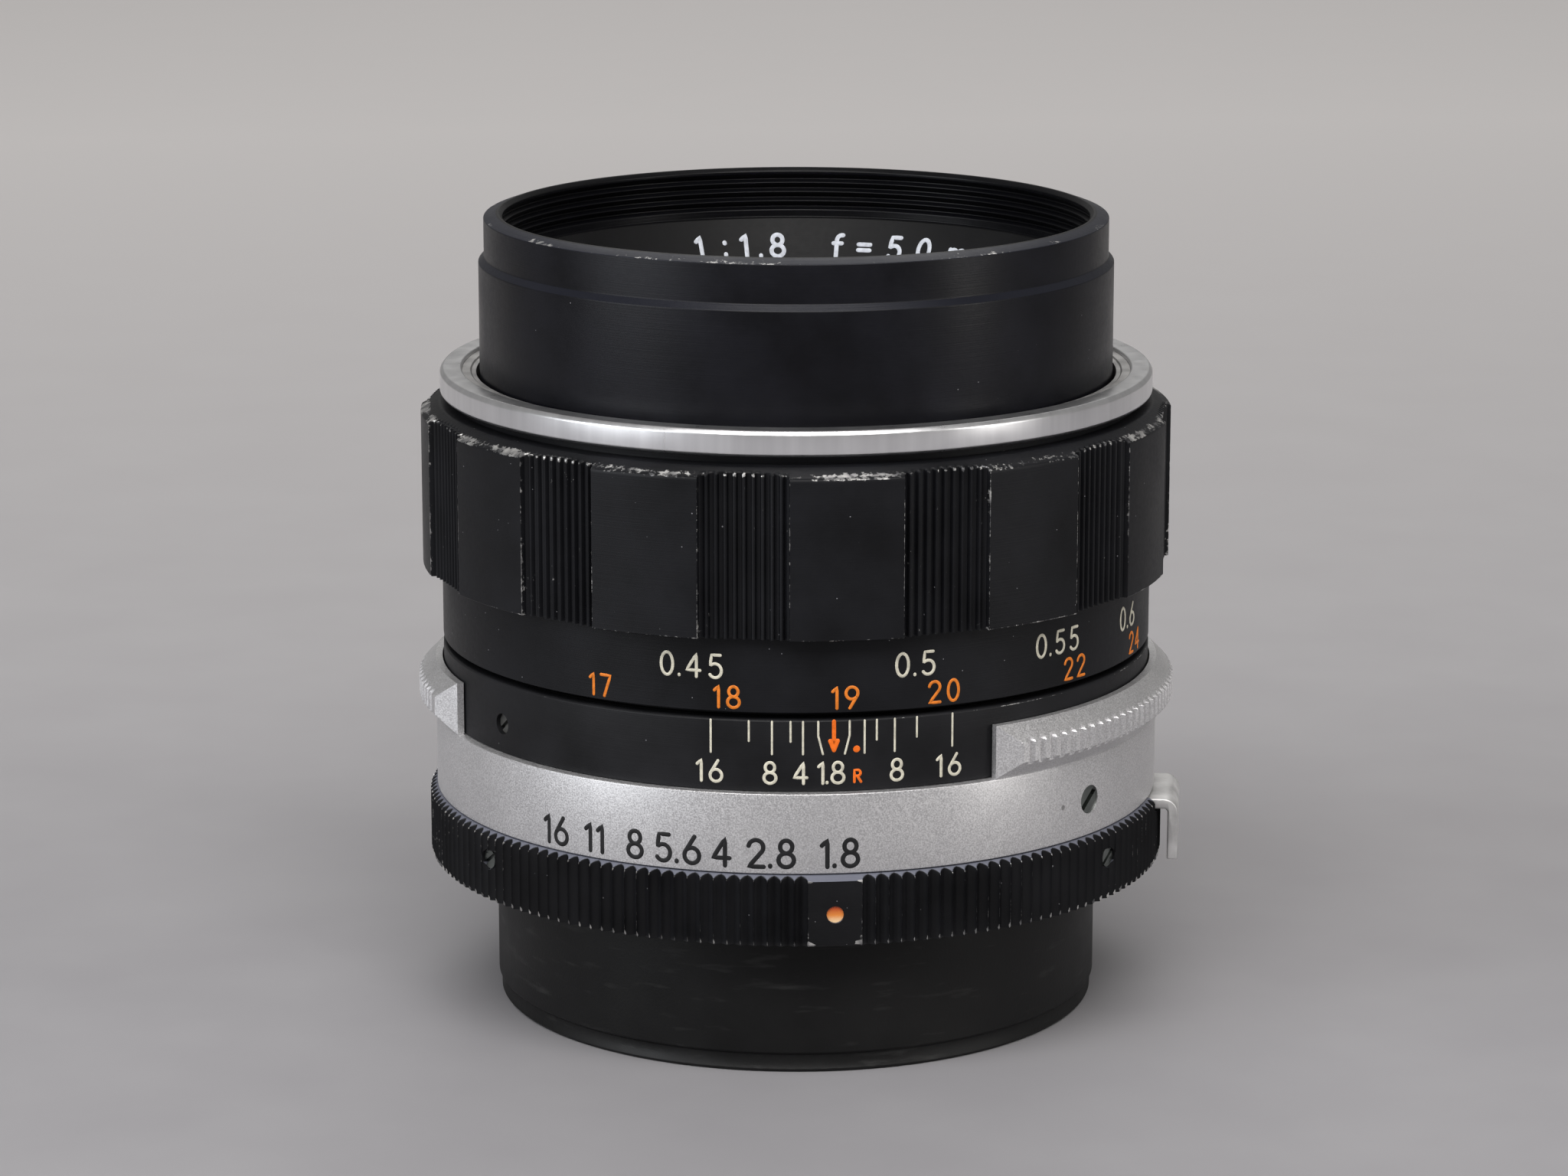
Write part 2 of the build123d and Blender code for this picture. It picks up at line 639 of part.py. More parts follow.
# Rear group, hung under the iris
land_4 = cell_flange_top - 0.9
front_4 = land_4 + sag(-hollow_curve, hollow_4_r)
back_4 = front_4 - 1.4
pair_4_curve = 150.0
front_5 = back_4 - cement
back_5 = front_5 - 4.8
back_5_curve = -22.0
front_6 = back_5 - 0.3
front_6_curve = 80.0
back_6 = front_6 - 4.2
back_6_curve = -35.0


def make_glasses():
    save("front_glass", glass(front_glass_r, front_1, front_1_curve, back_1, back_1_curve))
    save("second_glass", glass(inner_glass_r, front_2, front_2_curve, back_2, back_2_curve))
    save("third_glass", glass(inner_glass_r, front_3, back_2_curve, back_3, hollow_curve,
                              back_bowl=hollow_3_r))
    save("fourth_glass", glass(rear_pair_r, front_4, -hollow_curve, back_4, pair_4_curve,
                               front_bowl=hollow_4_r))
    save("fifth_glass", glass(rear_pair_r, front_5, pair_4_curve, back_5, back_5_curve))
    save("rear_glass", glass(rear_glass_r, front_6, front_6_curve, back_6, back_6_curve))


# ---- Cells that hold the glass ----
def make_front_cell():
    top = web_z + 0.74
    nut_seat = front_1 - sag(front_1_curve, front_glass_r) + 0.35
    step_1 = back_1 - sag(back_1_curve, front_glass_r) - 0.04
    nut_r = cell_r - 0.6
    lip_r_in = hollow_3_r + 0.6
    cell = turned((nut_r, top), (nut_r, nut_seat), (front_glass_r + seat_play, nut_seat),
                  (front_glass_r + seat_play, step_1), (inner_glass_r + seat_play, step_1),
                  (inner_glass_r + seat_play, land_3 - 0.03), (lip_r_in, land_3 - 0.03),
                  (lip_r_in, land_3 - cell_lip_h), (cell_r, land_3 - cell_lip_h), (cell_r, top))
    save("front_cell", cell)
    nut_in = front_glass_r - 0.8
    nut_low = front_1 - sag(front_1_curve, nut_in) + 0.05
    nut_flare = nut_in + 1.6
    nut = turned((nut_in, nut_low), (nut_in, nut_low + 0.6), (nut_flare, top - 0.2), (nut_flare, top - 0.04),
                 (nut_r - 0.05, top - 0.04), (nut_r - 0.05, nut_seat + 0.05), (front_glass_r, nut_seat + 0.05))
    for angle in (70, 250):
        nut -= radial_block(1.2, nut_in, nut_r + 1, top - 0.9, top + 1, angle)
    save("front_retaining_ring", nut)
    spacer_in = inner_glass_r - 1.2
    spacer_low = front_2 - sag(front_2_curve, spacer_in) + 0.05
    spacer_top = back_1 - sag(back_1_curve, inner_glass_r) - 0.15
    save("front_spacer", tube(spacer_in, inner_glass_r, spacer_low, spacer_top))


def make_rear_cell():
    bore = rear_pair_r + seat_play
    step_6 = front_6 - sag(front_6_curve, rear_pair_r) + 0.03
    nut_seat = back_6 - sag(back_6_curve, rear_glass_r) - 0.25
    bottom = back_6 - 0.5
    outer = rear_glass_r + 2.4
    nut_r = rear_glass_r + 0.9
    flange_low = cell_flange_top - 2.0
    lip = hollow_4_r + 0.5
    cell = turned((lip, cell_flange_top), (inner_r, cell_flange_top), (inner_r, flange_low), (outer, flange_low),
                  (outer, bottom), (nut_r, bottom), (nut_r, nut_seat), (rear_glass_r + seat_play, nut_seat),
                  (rear_glass_r + seat_play, step_6), (bore, step_6), (bore, land_4 + 0.03), (lip, land_4 + 0.03))
    cell -= sector(lever_r[0] - 0.3, lever_r[1] + 0.3, flange_low - 1, cell_flange_top + 1,
                   drive_deg - 3, drive_deg + aperture_turn + 3)
    save("rear_cell", cell)
    spacer_in = rear_pair_r - 1.0
    spacer_low = front_6 - sag(front_6_curve, spacer_in) + 0.05
    spacer_top = back_5 - sag(back_5_curve, spacer_in) - 0.05
    save("rear_spacer", tube(spacer_in, rear_pair_r, spacer_low, spacer_top))
    nut_in = rear_glass_r - 1.0
    nut_top = back_6 - sag(back_6_curve, nut_in) - 0.05
    nut = tube(nut_in, nut_r - 0.05, bottom + 0.1, nut_top)
    for angle in (0, 180):
        nut -= radial_block(1.2, nut_in - 1, nut_r + 1, bottom - 1, bottom + 0.8, angle)
    save("rear_retaining_ring", nut)


# ---- Iris: base plate, blades, cam ring and drive lever ----
def tail_pin(turn):
    """Radius and angle of a blade's drive pin, seen from the pivot's own angle."""
    swing = radians(tail_deg + turn)
    x = pivot_r + tail_len * cos(swing)
    y = tail_len * sin(swing)
    return hypot(x, y), degrees(atan2(y, x))


def blade_angle(index):
    return drive_deg + index * 360 / blade_count


def make_iris_base():
    base = tube(iris_open_r + 0.2, cell_r - 0.05, base_low, base_top)
    for k in range(blade_count):
        base -= upright_pin(pin_r + pin_play, base_low - 1, base_top + 1, pivot_r, blade_angle(k))
    save("iris_base_plate", base)


def make_blade(index):
    """A curved leaf on its own level, with a pivot pin in front and a drive pin behind."""
    low = blade_first - index * blade_step
    outer = iris_open_r + blade_w
    leaf = sector(iris_open_r, outer, low, low + blade_t, 0, blade_sweep)
    tail_at, tail_off = tail_pin(0)
    eye = Pos(*polar(pivot_r, 0)) * Circle(1.0)
    root = Pos(*polar(outer - 1.1, 4)) * Circle(1.0)
    tail = Pos(*polar(tail_at, tail_off)) * Circle(0.75)
    lobes = make_hull(eye.edges() + root.edges()) + make_hull(eye.edges() + tail.edges())
    leaf += Pos(0, 0, low) * extrude(lobes, blade_t)
    leaf += upright_pin(pin_r, low, base_top - 0.1, pivot_r, 0)
    leaf += upright_pin(pin_r, cam_low + 0.05, low + blade_t, tail_at, tail_off)
    save("iris_blade_" + str(index + 1), Rot(0, 0, blade_angle(index)) * leaf)


def make_cam_ring():
    ring = tube(iris_open_r + 0.2, inner_r - 0.35, cam_low, cam_top)
    half = pin_r + pin_play
    steps = 16
    inner_side = []
    outer_side = []
    for k in range(steps + 1):
        share = k / steps
        r, angle = tail_pin(blade_turn * share)
        angle -= aperture_turn * share
        inner_side.append(polar(r - half, angle))
        outer_side.append(polar(r + half, angle))
    first_r, first_angle = tail_pin(0)
    last_r, last_angle = tail_pin(blade_turn)
    slot = make_face(Polyline(*inner_side, *reversed(outer_side), close=True))
    slot += Pos(*polar(first_r, first_angle)) * Circle(half)
    slot += Pos(*polar(last_r, last_angle - aperture_turn)) * Circle(half)
    cutter = Pos(0, 0, cam_low - 1) * extrude(slot, cam_t + 2)
    for k in range(blade_count):
        ring -= Rot(0, 0, blade_angle(k)) * cutter
    save("iris_cam_ring", ring)
    lever_low = drive_z - arm_h / 2 - travel_out - 1.7
    lever = radial_block(lever_w, lever_r[0], lever_r[1], lever_low, cam_low, drive_deg)
    save("iris_drive_lever", lever)


make_rear_cap()
make_bayonet_plate()
make_mount_screws()
make_mount_ring()
make_mount_details()
make_main_housing()
make_depth_scale_ring()
make_guide_keys()
make_stops()
make_aperture_ring()
make_aperture_drive()
make_prong()
make_focus_grip()
make_bright_band()
make_focus_sleeve()
make_front_barrel()
make_name_ring()
make_inner_helicoid()
make_glasses()
make_front_cell()
make_rear_cell()
make_iris_base()
for blade_index in range(blade_count):
    make_blade(blade_index)
make_cam_ring()
print("front rim at", round(rim_z, 2), "travel", round(travel_in, 3), round(travel_out, 3))
print("blade turn", round(blade_turn, 3), "ratio", round(blade_turn / aperture_turn, 5))
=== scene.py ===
# %% [markdown]
# A 50 mm prime lens stands on its rear cap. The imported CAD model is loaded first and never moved.
# Its boxes give every radius and height below, so the looks land exactly on the engineering.

# %% Load the frame
import math

import bmesh
import bpy
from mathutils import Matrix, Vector


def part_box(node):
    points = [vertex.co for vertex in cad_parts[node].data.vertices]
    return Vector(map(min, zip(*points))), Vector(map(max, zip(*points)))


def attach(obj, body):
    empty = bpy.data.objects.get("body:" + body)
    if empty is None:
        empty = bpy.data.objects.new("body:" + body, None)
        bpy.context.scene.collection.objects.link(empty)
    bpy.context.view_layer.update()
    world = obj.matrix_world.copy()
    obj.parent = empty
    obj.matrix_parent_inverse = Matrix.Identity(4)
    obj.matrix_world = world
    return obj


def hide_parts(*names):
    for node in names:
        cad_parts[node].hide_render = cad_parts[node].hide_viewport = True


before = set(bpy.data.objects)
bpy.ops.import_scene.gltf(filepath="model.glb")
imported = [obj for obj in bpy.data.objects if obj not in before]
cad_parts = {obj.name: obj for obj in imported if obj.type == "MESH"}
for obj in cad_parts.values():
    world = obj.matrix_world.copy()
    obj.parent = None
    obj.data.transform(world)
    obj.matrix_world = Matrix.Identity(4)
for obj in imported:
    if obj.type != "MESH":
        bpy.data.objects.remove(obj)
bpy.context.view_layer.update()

MM = 0.001
FACE_PLAY = 0.05

# %% [markdown]
# A lens is turned work. Each ring's outer radius, lowest and highest height are read from its
# CAD node. Angles are counted from the index line at -Y, towards +X, as a lens maker would.

# %% Measure the rings


def ring_size(node):
    """Outer radius, bottom and top of a turned node, in mm."""
    low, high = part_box(node)
    return max(-low.y, high.y) / MM, low.z / MM, high.z / MM


def polar(radius, degrees):
    """X and Y of a point at a radius and an angle from the index."""
    turn = math.radians(degrees)
    return radius * math.sin(turn), -radius * math.cos(turn)


cap_r, _, cap_top = ring_size("rear_cap")
mount_r, mount_low, mount_top = ring_size("mount_ring")
dial_r, dial_low, lug_top = ring_size("aperture_ring")
scale_r, depth_low, depth_top = ring_size("depth_scale_ring")
grip_r, scale_low, neck_top = ring_size("focus_grip")
band_r, band_low, band_top = ring_size("bright_band")
seal_r, seal_low, seal_top = ring_size("dust_seal_ring")
barrel_r, barrel_low, rim_z = ring_size("front_barrel")
name_r, name_low, name_top = ring_size("name_ring")
lug_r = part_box("aperture_ring")[1].x / MM
dial_top = depth_low - FACE_PLAY
print("front rim at", round(rim_z, 2), "mm; widest turned ring", round(lug_r, 2), "mm")

# %% [markdown]
# The helpers below do the bench work. One deselects everything, because an operator acts on all
# that is selected. One rounds the corners of a section, since a real turned edge is never knife
# sharp and catches a thin line of light. One turns a section: a circle is added, its edge loop is
# extruded once for each corner, and every loop is set to that corner's radius. An outline gives
# the largest radius at each angle, and FAR means that there is no limit there.

# %% Turning helpers
FAR = 1000.0
AXIS_R = 0.001
STEPS = 240


def deselect_all():
    if bpy.context.object and bpy.context.object.mode != "OBJECT":
        bpy.ops.object.mode_set(mode="OBJECT")
    bpy.ops.object.select_all(action="DESELECT")


def rounded(section, radius=0.08):
    """Give each corner of a closed section a small round of four points."""
    smooth = []
    count = len(section)
    for k in range(count):
        here = Vector(section[k])
        before = Vector(section[k - 1])
        after = Vector(section[(k + 1) % count])
        if here.x <= AXIS_R:
            smooth.append(tuple(here))
            continue
        reach = min(radius, (before - here).length * 0.4, (after - here).length * 0.4)
        start = here + (before - here).normalized() * reach
        end = here + (after - here).normalized() * reach
        for share in (0, 1 / 3, 2 / 3, 1):
            point = start * (1 - share) ** 2 + here * 2 * share * (1 - share) + end * share**2
            smooth.append(tuple(point))
    return smooth


def set_loop(piece, outline, corner):
    """Move the selected loop onto a corner of the section, held inside the outline."""
    shape = bmesh.from_edit_mesh(piece.data)
    loop = sorted((v for v in shape.verts if v.select), key=lambda v: math.atan2(v.co.x, -v.co.y))
    for vertex, (angle, limit) in zip(loop, outline):
        x, y = polar(min(max(corner[0], AXIS_R), limit) * MM, angle)
        vertex.co = (x, y, corner[1] * MM)
    bmesh.update_edit_mesh(piece.data)


def turned(name, section, outline=None, round_by=0.08):
    """Turn a closed section of (radius, height) corners into a ring, shaped by an outline."""
    if outline is None:
        outline = [(-180 + 360 * (k + 0.5) / STEPS, FAR) for k in range(STEPS)]
    corners = rounded(section, round_by) if round_by else list(section)
    deselect_all()
    bpy.ops.mesh.primitive_circle_add(vertices=len(outline), radius=0.01, enter_editmode=True)
    piece = bpy.context.object
    piece.name = name
    bpy.ops.mesh.select_mode(type="VERT")
    set_loop(piece, outline, corners[0])
    if section[0][0] > AXIS_R:
        corners = corners + corners[:1]
    for corner in corners[1:]:
        bpy.ops.mesh.extrude_region_move()
        set_loop(piece, outline, corner)
    bpy.ops.mesh.select_all(action="SELECT")
    bpy.ops.mesh.remove_doubles(threshold=2.2e-6)
    bpy.ops.mesh.normals_make_consistent(inside=False)
    bpy.ops.object.mode_set(mode="OBJECT")
    bpy.ops.object.shade_smooth_by_angle(angle=math.radians(40))
    return piece


def report(piece):
    """Print what a finished piece holds."""
    piece.data.calc_loop_triangles()
    print(piece.name, "has", len(piece.data.loop_triangles), "triangles")


# %% [markdown]
# Finishes are built from nodes. A small helper adds one node, sets or links its inputs, and hands
# back its output. Patterns read Object coordinates, which sit still on the piece, and rubbed edges
# read an attribute. The constants go straight onto the shader's own sockets.

# %% Node helpers


class Finish:
    """One material and the tools to build it."""

    def __init__(self, name):
        self.material = bpy.data.materials.new(name)
        self.material.use_nodes = True
        self.tree = self.material.node_tree
        self.shader = next(n for n in self.tree.nodes if n.type == "BSDF_PRINCIPLED")
        self.place = self.tree.nodes.new("ShaderNodeTexCoord").outputs["Object"]

    def feed(self, socket, value):
        """Link another node's output to a socket, or set the socket to a plain value."""
        if isinstance(value, bpy.types.NodeSocket):
            self.tree.links.new(value, socket)
        else:
            socket.default_value = value

    def add(self, kind, output=0, settings=None, **inputs):
        """Add a node. Inputs are given by name or, as in0 and in1, by number."""
        node = self.tree.nodes.new("ShaderNode" + kind)
        for key, value in (settings or {}).items():
            setattr(node, key, value)
        for key, value in inputs.items():
            by_number = key[:2] == "in" and key[2:].isdigit()
            self.feed(node.inputs[int(key[2:]) if by_number else key], value)
        return node.outputs[output]

    def maths(self, operation, first, second=0.0, clamp=False):
        return self.add("Math", settings={"operation": operation, "use_clamp": clamp}, in0=first, in1=second)

    def stretched(self, x, y, z):
        """Object coordinates scaled on each axis."""
        return self.add("Mapping", Vector=self.place, Scale=(x, y, z))

    def noise(self, scale, detail=3.0, vector=None, rough=0.5):
        vector = vector or self.place
        return self.add("TexNoise", Vector=vector, Scale=scale, Detail=detail, Roughness=rough)

    def ramp(self, value, low, high, out_low=0.0, out_high=1.0):
        """Clamped straight map of a value."""
        return self.add("MapRange", Value=value, **{"From Min": low, "From Max": high,
                                                    "To Min": out_low, "To Max": out_high})

    def blend(self, factor, first, second):
        """Mix two colours."""
        return self.add("Mix", 2, {"data_type": "RGBA"}, in0=factor, in6=first, in7=second)

    def specks(self, spacing, size, share):
        """Rare small dots: one place in each cell, and only some cells are used."""
        cells = self.add("TexVoronoi", Vector=self.place, Scale=1 / spacing).node
        dot = self.ramp(cells.outputs["Distance"], size * 0.7, size, 1.0, 0.0)
        pick = self.add("SeparateColor", in0=cells.outputs["Color"])
        return self.maths("MULTIPLY", dot, self.maths("LESS_THAN", pick, share))

    def spot(self, place, size):
        """One round mark at a place in mm."""
        gap = self.add("VectorMath", output=1, settings={"operation": "DISTANCE"}, in0=self.place,
                       in1=tuple(v * MM for v in place))
        return self.ramp(gap, size * 0.6 * MM, size * MM, 1.0, 0.0)

    def attribute(self, name):
        return self.add("Attribute", output=2, settings={"attribute_name": name})

    def bump(self, height, strength, distance):
        return self.add("Bump", Height=height, Strength=strength, Distance=distance)

    def set(self, **inputs):
        """Set or link the shader's own sockets. An underscore stands for a space."""
        for key, value in inputs.items():
            self.feed(self.shader.inputs[key.replace("_", " ")], value)


def shade(colour, factor=1.0):
    """A colour made darker or lighter, with its alpha."""
    return tuple(min(c * factor, 1) for c in colour) + (1,)


def give(piece, finish):
    """Put one finish on a piece."""
    piece.data.materials.clear()
    piece.data.materials.append(finish.material)


# %% [markdown]
# The black parts are anodised aluminium: almost black, satin, with circular tool marks left by the
# lathe. The tool marks are noise squeezed flat along the axis, so they run round every ring with
# no seam. Years of handling leave pale specks, and rubbed edges where bare metal shows. Those
# edges come from an attribute called wear, which is painted on the vertices that stand proud.
# Faces that look up may be given a painted sheen (top), a paler colour that stands in for the light
# from above, and inside a bore the colour may be darkened as painted shade (bore).

# %% Black finishes
BLACK_SPECULAR = 0.18
LATHE_BUMP = 0.25
DUST_GREY = (0.30, 0.30, 0.32, 1)


def black_finish(name, colour, rough, speck_share, wear=0.0, top=None, bore=0.0):
    """Satin black over aluminium, with lathe marks, specks and, where asked, rubbed edges, a painted sheen
    on faces that look up and painted shade in a bore.
    """
    f = Finish(name)
    cloud = f.noise(180.0, 4.0)
    fine = f.noise(2600.0, 2.0)
    lathe = f.noise(1.0, 2.0, f.stretched(60, 60, 16000))
    base = f.blend(f.ramp(cloud, 0.3, 0.7), shade(colour, 0.65), shade(colour, 1.5))
    dust = f.maths("ADD", f.specks(0.0021, 0.032, speck_share), f.specks(0.0008, 0.060, speck_share), True)
    base = f.blend(f.maths("MULTIPLY", dust, 0.7), base, DUST_GREY)
    uneven = f.maths("ADD", cloud, f.maths("MULTIPLY", fine, 0.5))
    shine = f.ramp(uneven, 0.4, 1.1, rough - 0.07, rough + 0.09)
    bump = f.bump(f.maths("ADD", lathe, f.maths("MULTIPLY", fine, 0.5)), LATHE_BUMP, 0.00003)
    # Painted sheen: faces that look up are blended towards the paler top colour, which stands in for the
    # light from above.
    if top:
        up_facing_painted_sheen = f.add("SeparateXYZ", output=2, Vector=f.add("NewGeometry", output=1))
        base = f.blend(f.ramp(up_facing_painted_sheen, 0.35, 0.75), base, shade(top))
    # Painted shade: inside the bore radius the colour is darkened, standing in for the shade within the
    # barrel.
    if bore:
        across = f.add("VectorMath", output=1, settings={"operation": "LENGTH"}, in0=f.stretched(1, 1, 0))
        clear_of_painted_bore_shade = f.ramp(across, bore * MM, (bore + 0.05) * MM)
        base = f.blend(clear_of_painted_bore_shade, shade(colour, 0.4), base)
    if wear:
        chips = f.maths("SUBTRACT", f.noise(2600.0, 5.0, rough=0.7), 0.5)
        patch = f.ramp(f.noise(260.0, 2.0), 0.35, 0.65, 0.62, 1.12)
        edge = f.maths("MULTIPLY", f.attribute("wear"), patch)
        edge = f.maths("ADD", edge, f.maths("MULTIPLY", chips, 1.3))
        bare = f.ramp(edge, 1.0 - wear * 0.45, 1.12 - wear * 0.45)
        dull, clean = (0.13, 0.13, 0.135, 1), (0.62, 0.61, 0.59, 1)
        metal = f.blend(f.ramp(f.noise(900.0, 2.0), 0.35, 0.65), dull, clean)
        base = f.blend(bare, base, metal)
        f.set(Metallic=f.maths("MULTIPLY", bare, 0.8))
        shine = f.ramp(bare, 0.0, 1.0, shine, 0.36)
    f.set(Base_Color=base, Roughness=shine, Normal=bump, Specular_IOR_Level=BLACK_SPECULAR)
    return f


# top is a painted sheen on faces that look up, and bore darkens the filter thread as painted shade.
barrel_black = black_finish("barrel_black", (0.0037, 0.0038, 0.0056), 0.36, 0.09, wear=0.55,
                             top=(0.011, 0.012, 0.018), bore=23.1)
grip_black = black_finish("grip_black", (0.0048, 0.0050, 0.0062), 0.44, 0.28, wear=1.0)
scale_black = black_finish("scale_black", (0.0078, 0.0079, 0.0090), 0.46, 0.10, wear=0.45)
# top is a strong bluish painted sheen on the chamfer and the other faces that look up.
mount_black = black_finish("mount_black", (0.0058, 0.0059, 0.0068), 0.42, 0.16, wear=0.75,
                            top=(0.125, 0.130, 0.160))
name_black = black_finish("name_black", (0.0035, 0.0035, 0.0038), 0.55, 0.03)
inner_black = black_finish("inner_black", (0.0030, 0.0030, 0.0031), 0.60, 0.01)
print("black finishes made")

# %% [markdown]
# The aperture ring is bead-blasted and satin chromed, so it looks like frosted silver with a fine
# sparkle, and it has one small stain on its front. The band above the grip is turned bright: its
# streaks follow the light up and down, because each tool mark mirrors a slightly different part of
# the room.

# %% Bright finishes
STAIN_DEG = 39.4
STAIN_Z = 19.74
STAIN_R = 0.24


def silver_finish():
    f = Finish("aperture_silver")
    grain = f.noise(9000.0, 1.0)
    cloud = f.noise(220.0, 4.0)
    spark = f.specks(0.0005, 0.13, 0.16)
    base = f.blend(f.ramp(grain, 0.35, 0.65), (0.53, 0.525, 0.53, 1), (0.75, 0.745, 0.75, 1))
    base = f.blend(f.maths("MULTIPLY", spark, 0.6), base, (0.96, 0.96, 0.96, 1))
    base = f.blend(f.ramp(cloud, 0.35, 0.75, 0.0, 0.22), base, (0.40, 0.40, 0.41, 1))
    base = f.blend(f.specks(0.0042, 0.022, 0.10), base, (0.03, 0.03, 0.03, 1))
    stain = f.maths("MULTIPLY", f.spot(polar(dial_r, STAIN_DEG) + (STAIN_Z,), STAIN_R), 0.6)
    base = f.blend(stain, base, (0.06, 0.055, 0.05, 1))
    f.set(Base_Color=base, Metallic=0.82, Roughness=f.ramp(grain, 0.3, 0.7, 0.33, 0.50))
    f.set(Normal=f.bump(f.maths("ADD", grain, spark), 0.35, 0.00002))
    return f


def bright_finish():
    f = Finish("bright_band")
    streak = f.noise(1.0, 3.0, f.stretched(900, 900, 30))
    fine = f.noise(1.0, 2.0, f.stretched(5000, 5000, 200))
    base = f.blend(f.ramp(streak, 0.3, 0.7), (0.70, 0.70, 0.71, 1), (0.80, 0.80, 0.81, 1))
    nicks = f.ramp(f.maths("ADD", f.attribute("wear"), f.noise(700.0, 4.0)), 1.52, 1.60)
    base = f.blend(nicks, base, (0.97, 0.97, 0.96, 1))
    shine = f.ramp(f.maths("ADD", streak, f.maths("MULTIPLY", fine, 0.4)), 0.4, 1.0, 0.27, 0.33)
    f.set(Base_Color=base, Metallic=0.97, Roughness=shine)
    f.set(Normal=f.bump(f.maths("ADD", streak, fine), 0.02, 0.00003))
    return f


def plain_metal(name, colour, rough, metal=1.0, marks=0.2):
    """Steel, brass or grey anodised metal, with tool marks and a little staining."""
    f = Finish(name)
    lathe = f.noise(1.0, 2.0, f.stretched(80, 80, 12000))
    cloud = f.noise(400.0, 4.0)
    base = f.blend(f.ramp(cloud, 0.25, 0.6), shade(colour, 0.6), shade(colour, 1.15))
    f.set(Base_Color=base, Metallic=metal)
    f.set(Roughness=f.ramp(f.maths("ADD", cloud, lathe), 0.7, 1.3, rough - 0.08, rough + 0.1))
    f.set(Normal=f.bump(lathe, marks, 0.00003))
    return f


silver = silver_finish()
bright = bright_finish()
seal_grey = plain_metal("seal_grey", (0.38, 0.375, 0.37), 0.42, 0.7)
steel = plain_metal("steel", (0.55, 0.55, 0.56), 0.36)
dark_screw = plain_metal("black_screw", (0.10, 0.10, 0.095), 0.45, 0.6)
worn_screw = plain_metal("worn_screw", (0.17, 0.185, 0.175), 0.34)
prong_metal = plain_metal("prong_metal", (0.64, 0.635, 0.63), 0.48, 0.75, 0.05)
mount_chrome = plain_metal("mount_steel", (0.72, 0.72, 0.71), 0.20)
brass = plain_metal("brass", (0.66, 0.48, 0.20), 0.34)
blade_steel = plain_metal("blade_black", (0.045, 0.048, 0.058), 0.38, 0.9)
print("bright finishes made")

# %% [markdown]
# Numbers and lines are filled with enamel: cream, white, orange, or black on the silver ring.
# Enamel is slightly mottled and a little chalky. The index dot is paint in a small hollow, and its
# colour carries painted light: painted shade above and a painted highlight below. The cap is moulded
# plastic with a fine grain. The front glass is coated, so what it reflects is tinted violet, and the
# inner glasses are tinted amber.

# %% Enamel, plastic and glass
SOFT_SPECULAR = 0.22
PLASTIC_SPECULAR = 0.20
DOT_R = 0.65
dot_z = mount_low + 2.47


def enamel_finish(name, colour, rough=0.5):
    f = Finish(name)
    mottle = f.noise(2400.0, 3.0)
    f.set(Base_Color=f.blend(f.ramp(mottle, 0.3, 0.62), shade(colour, 0.72), shade(colour)))
    f.set(Roughness=f.ramp(mottle, 0.3, 0.7, rough - 0.1, rough + 0.1))
    f.set(Normal=f.bump(mottle, 0.25, 0.00004), Specular_IOR_Level=SOFT_SPECULAR)
    return f


def dot_finish(centre, radius):
    """Paint in a small round hollow, with painted light: painted shade, deep red-orange, above, and a pale
    painted highlight below.
    """
    f = Finish("index_dot_paint")
    height = f.add("SeparateXYZ", output=2, Vector=f.place)
    # Painted highlight: pale towards the bottom of the dot. Painted shade: deeper red towards the top.
    painted_highlight_low = f.ramp(height, (centre - radius * 0.8) * MM, (centre - radius * 0.1) * MM, 1.0, 0.0)
    painted_shade_high = f.ramp(height, (centre - radius * 0.1) * MM, (centre + radius * 0.7) * MM)
    base = f.blend(painted_shade_high, (0.66, 0.22, 0.04, 1), (0.42, 0.06, 0.010, 1))
    f.set(Base_Color=f.blend(painted_highlight_low, base, (0.78, 0.54, 0.30, 1)))
    f.set(Roughness=f.ramp(f.noise(3000.0), 0.3, 0.7, 0.2, 0.4))
    return f


def plastic_finish():
    f = Finish("cap_plastic")
    grain = f.noise(5200.0, 2.0)
    cloud = f.noise(120.0, 4.0)
    base = f.blend(f.ramp(cloud, 0.3, 0.7), (0.0036, 0.0036, 0.0037, 1), (0.0078, 0.0078, 0.0078, 1))
    base = f.blend(f.maths("MULTIPLY", f.specks(0.0019, 0.034, 0.12), 0.6), base, (0.30, 0.29, 0.28, 1))
    scuff = f.ramp(f.noise(1.0, 4.0, f.stretched(240, 240, 1400)), 0.60, 0.78, 0.0, 0.10)
    base = f.blend(scuff, base, (0.16, 0.16, 0.155, 1))
    f.set(Base_Color=base, Roughness=f.ramp(cloud, 0.3, 0.7, 0.40, 0.56))
    f.set(Normal=f.bump(grain, 0.3, 0.00003), Specular_IOR_Level=PLASTIC_SPECULAR)
    return f


def glass_finish(name, tint, reflect):
    """Clear coated glass. A trace of dust keeps it from looking like nothing at all."""
    f = Finish(name)
    dust = f.maths("MULTIPLY", f.specks(0.0016, 0.035, 0.22), 0.5)
    f.set(Base_Color=f.blend(dust, shade(tint), (0.55, 0.55, 0.58, 1)))
    f.set(Roughness=f.ramp(dust, 0.0, 0.5, 0.0, 0.5), IOR=1.62, Transmission_Weight=1.0)
    f.set(Specular_Tint=shade(reflect), Coat_Weight=0.35, Coat_Roughness=0.02, Coat_Tint=shade(reflect))
    return f


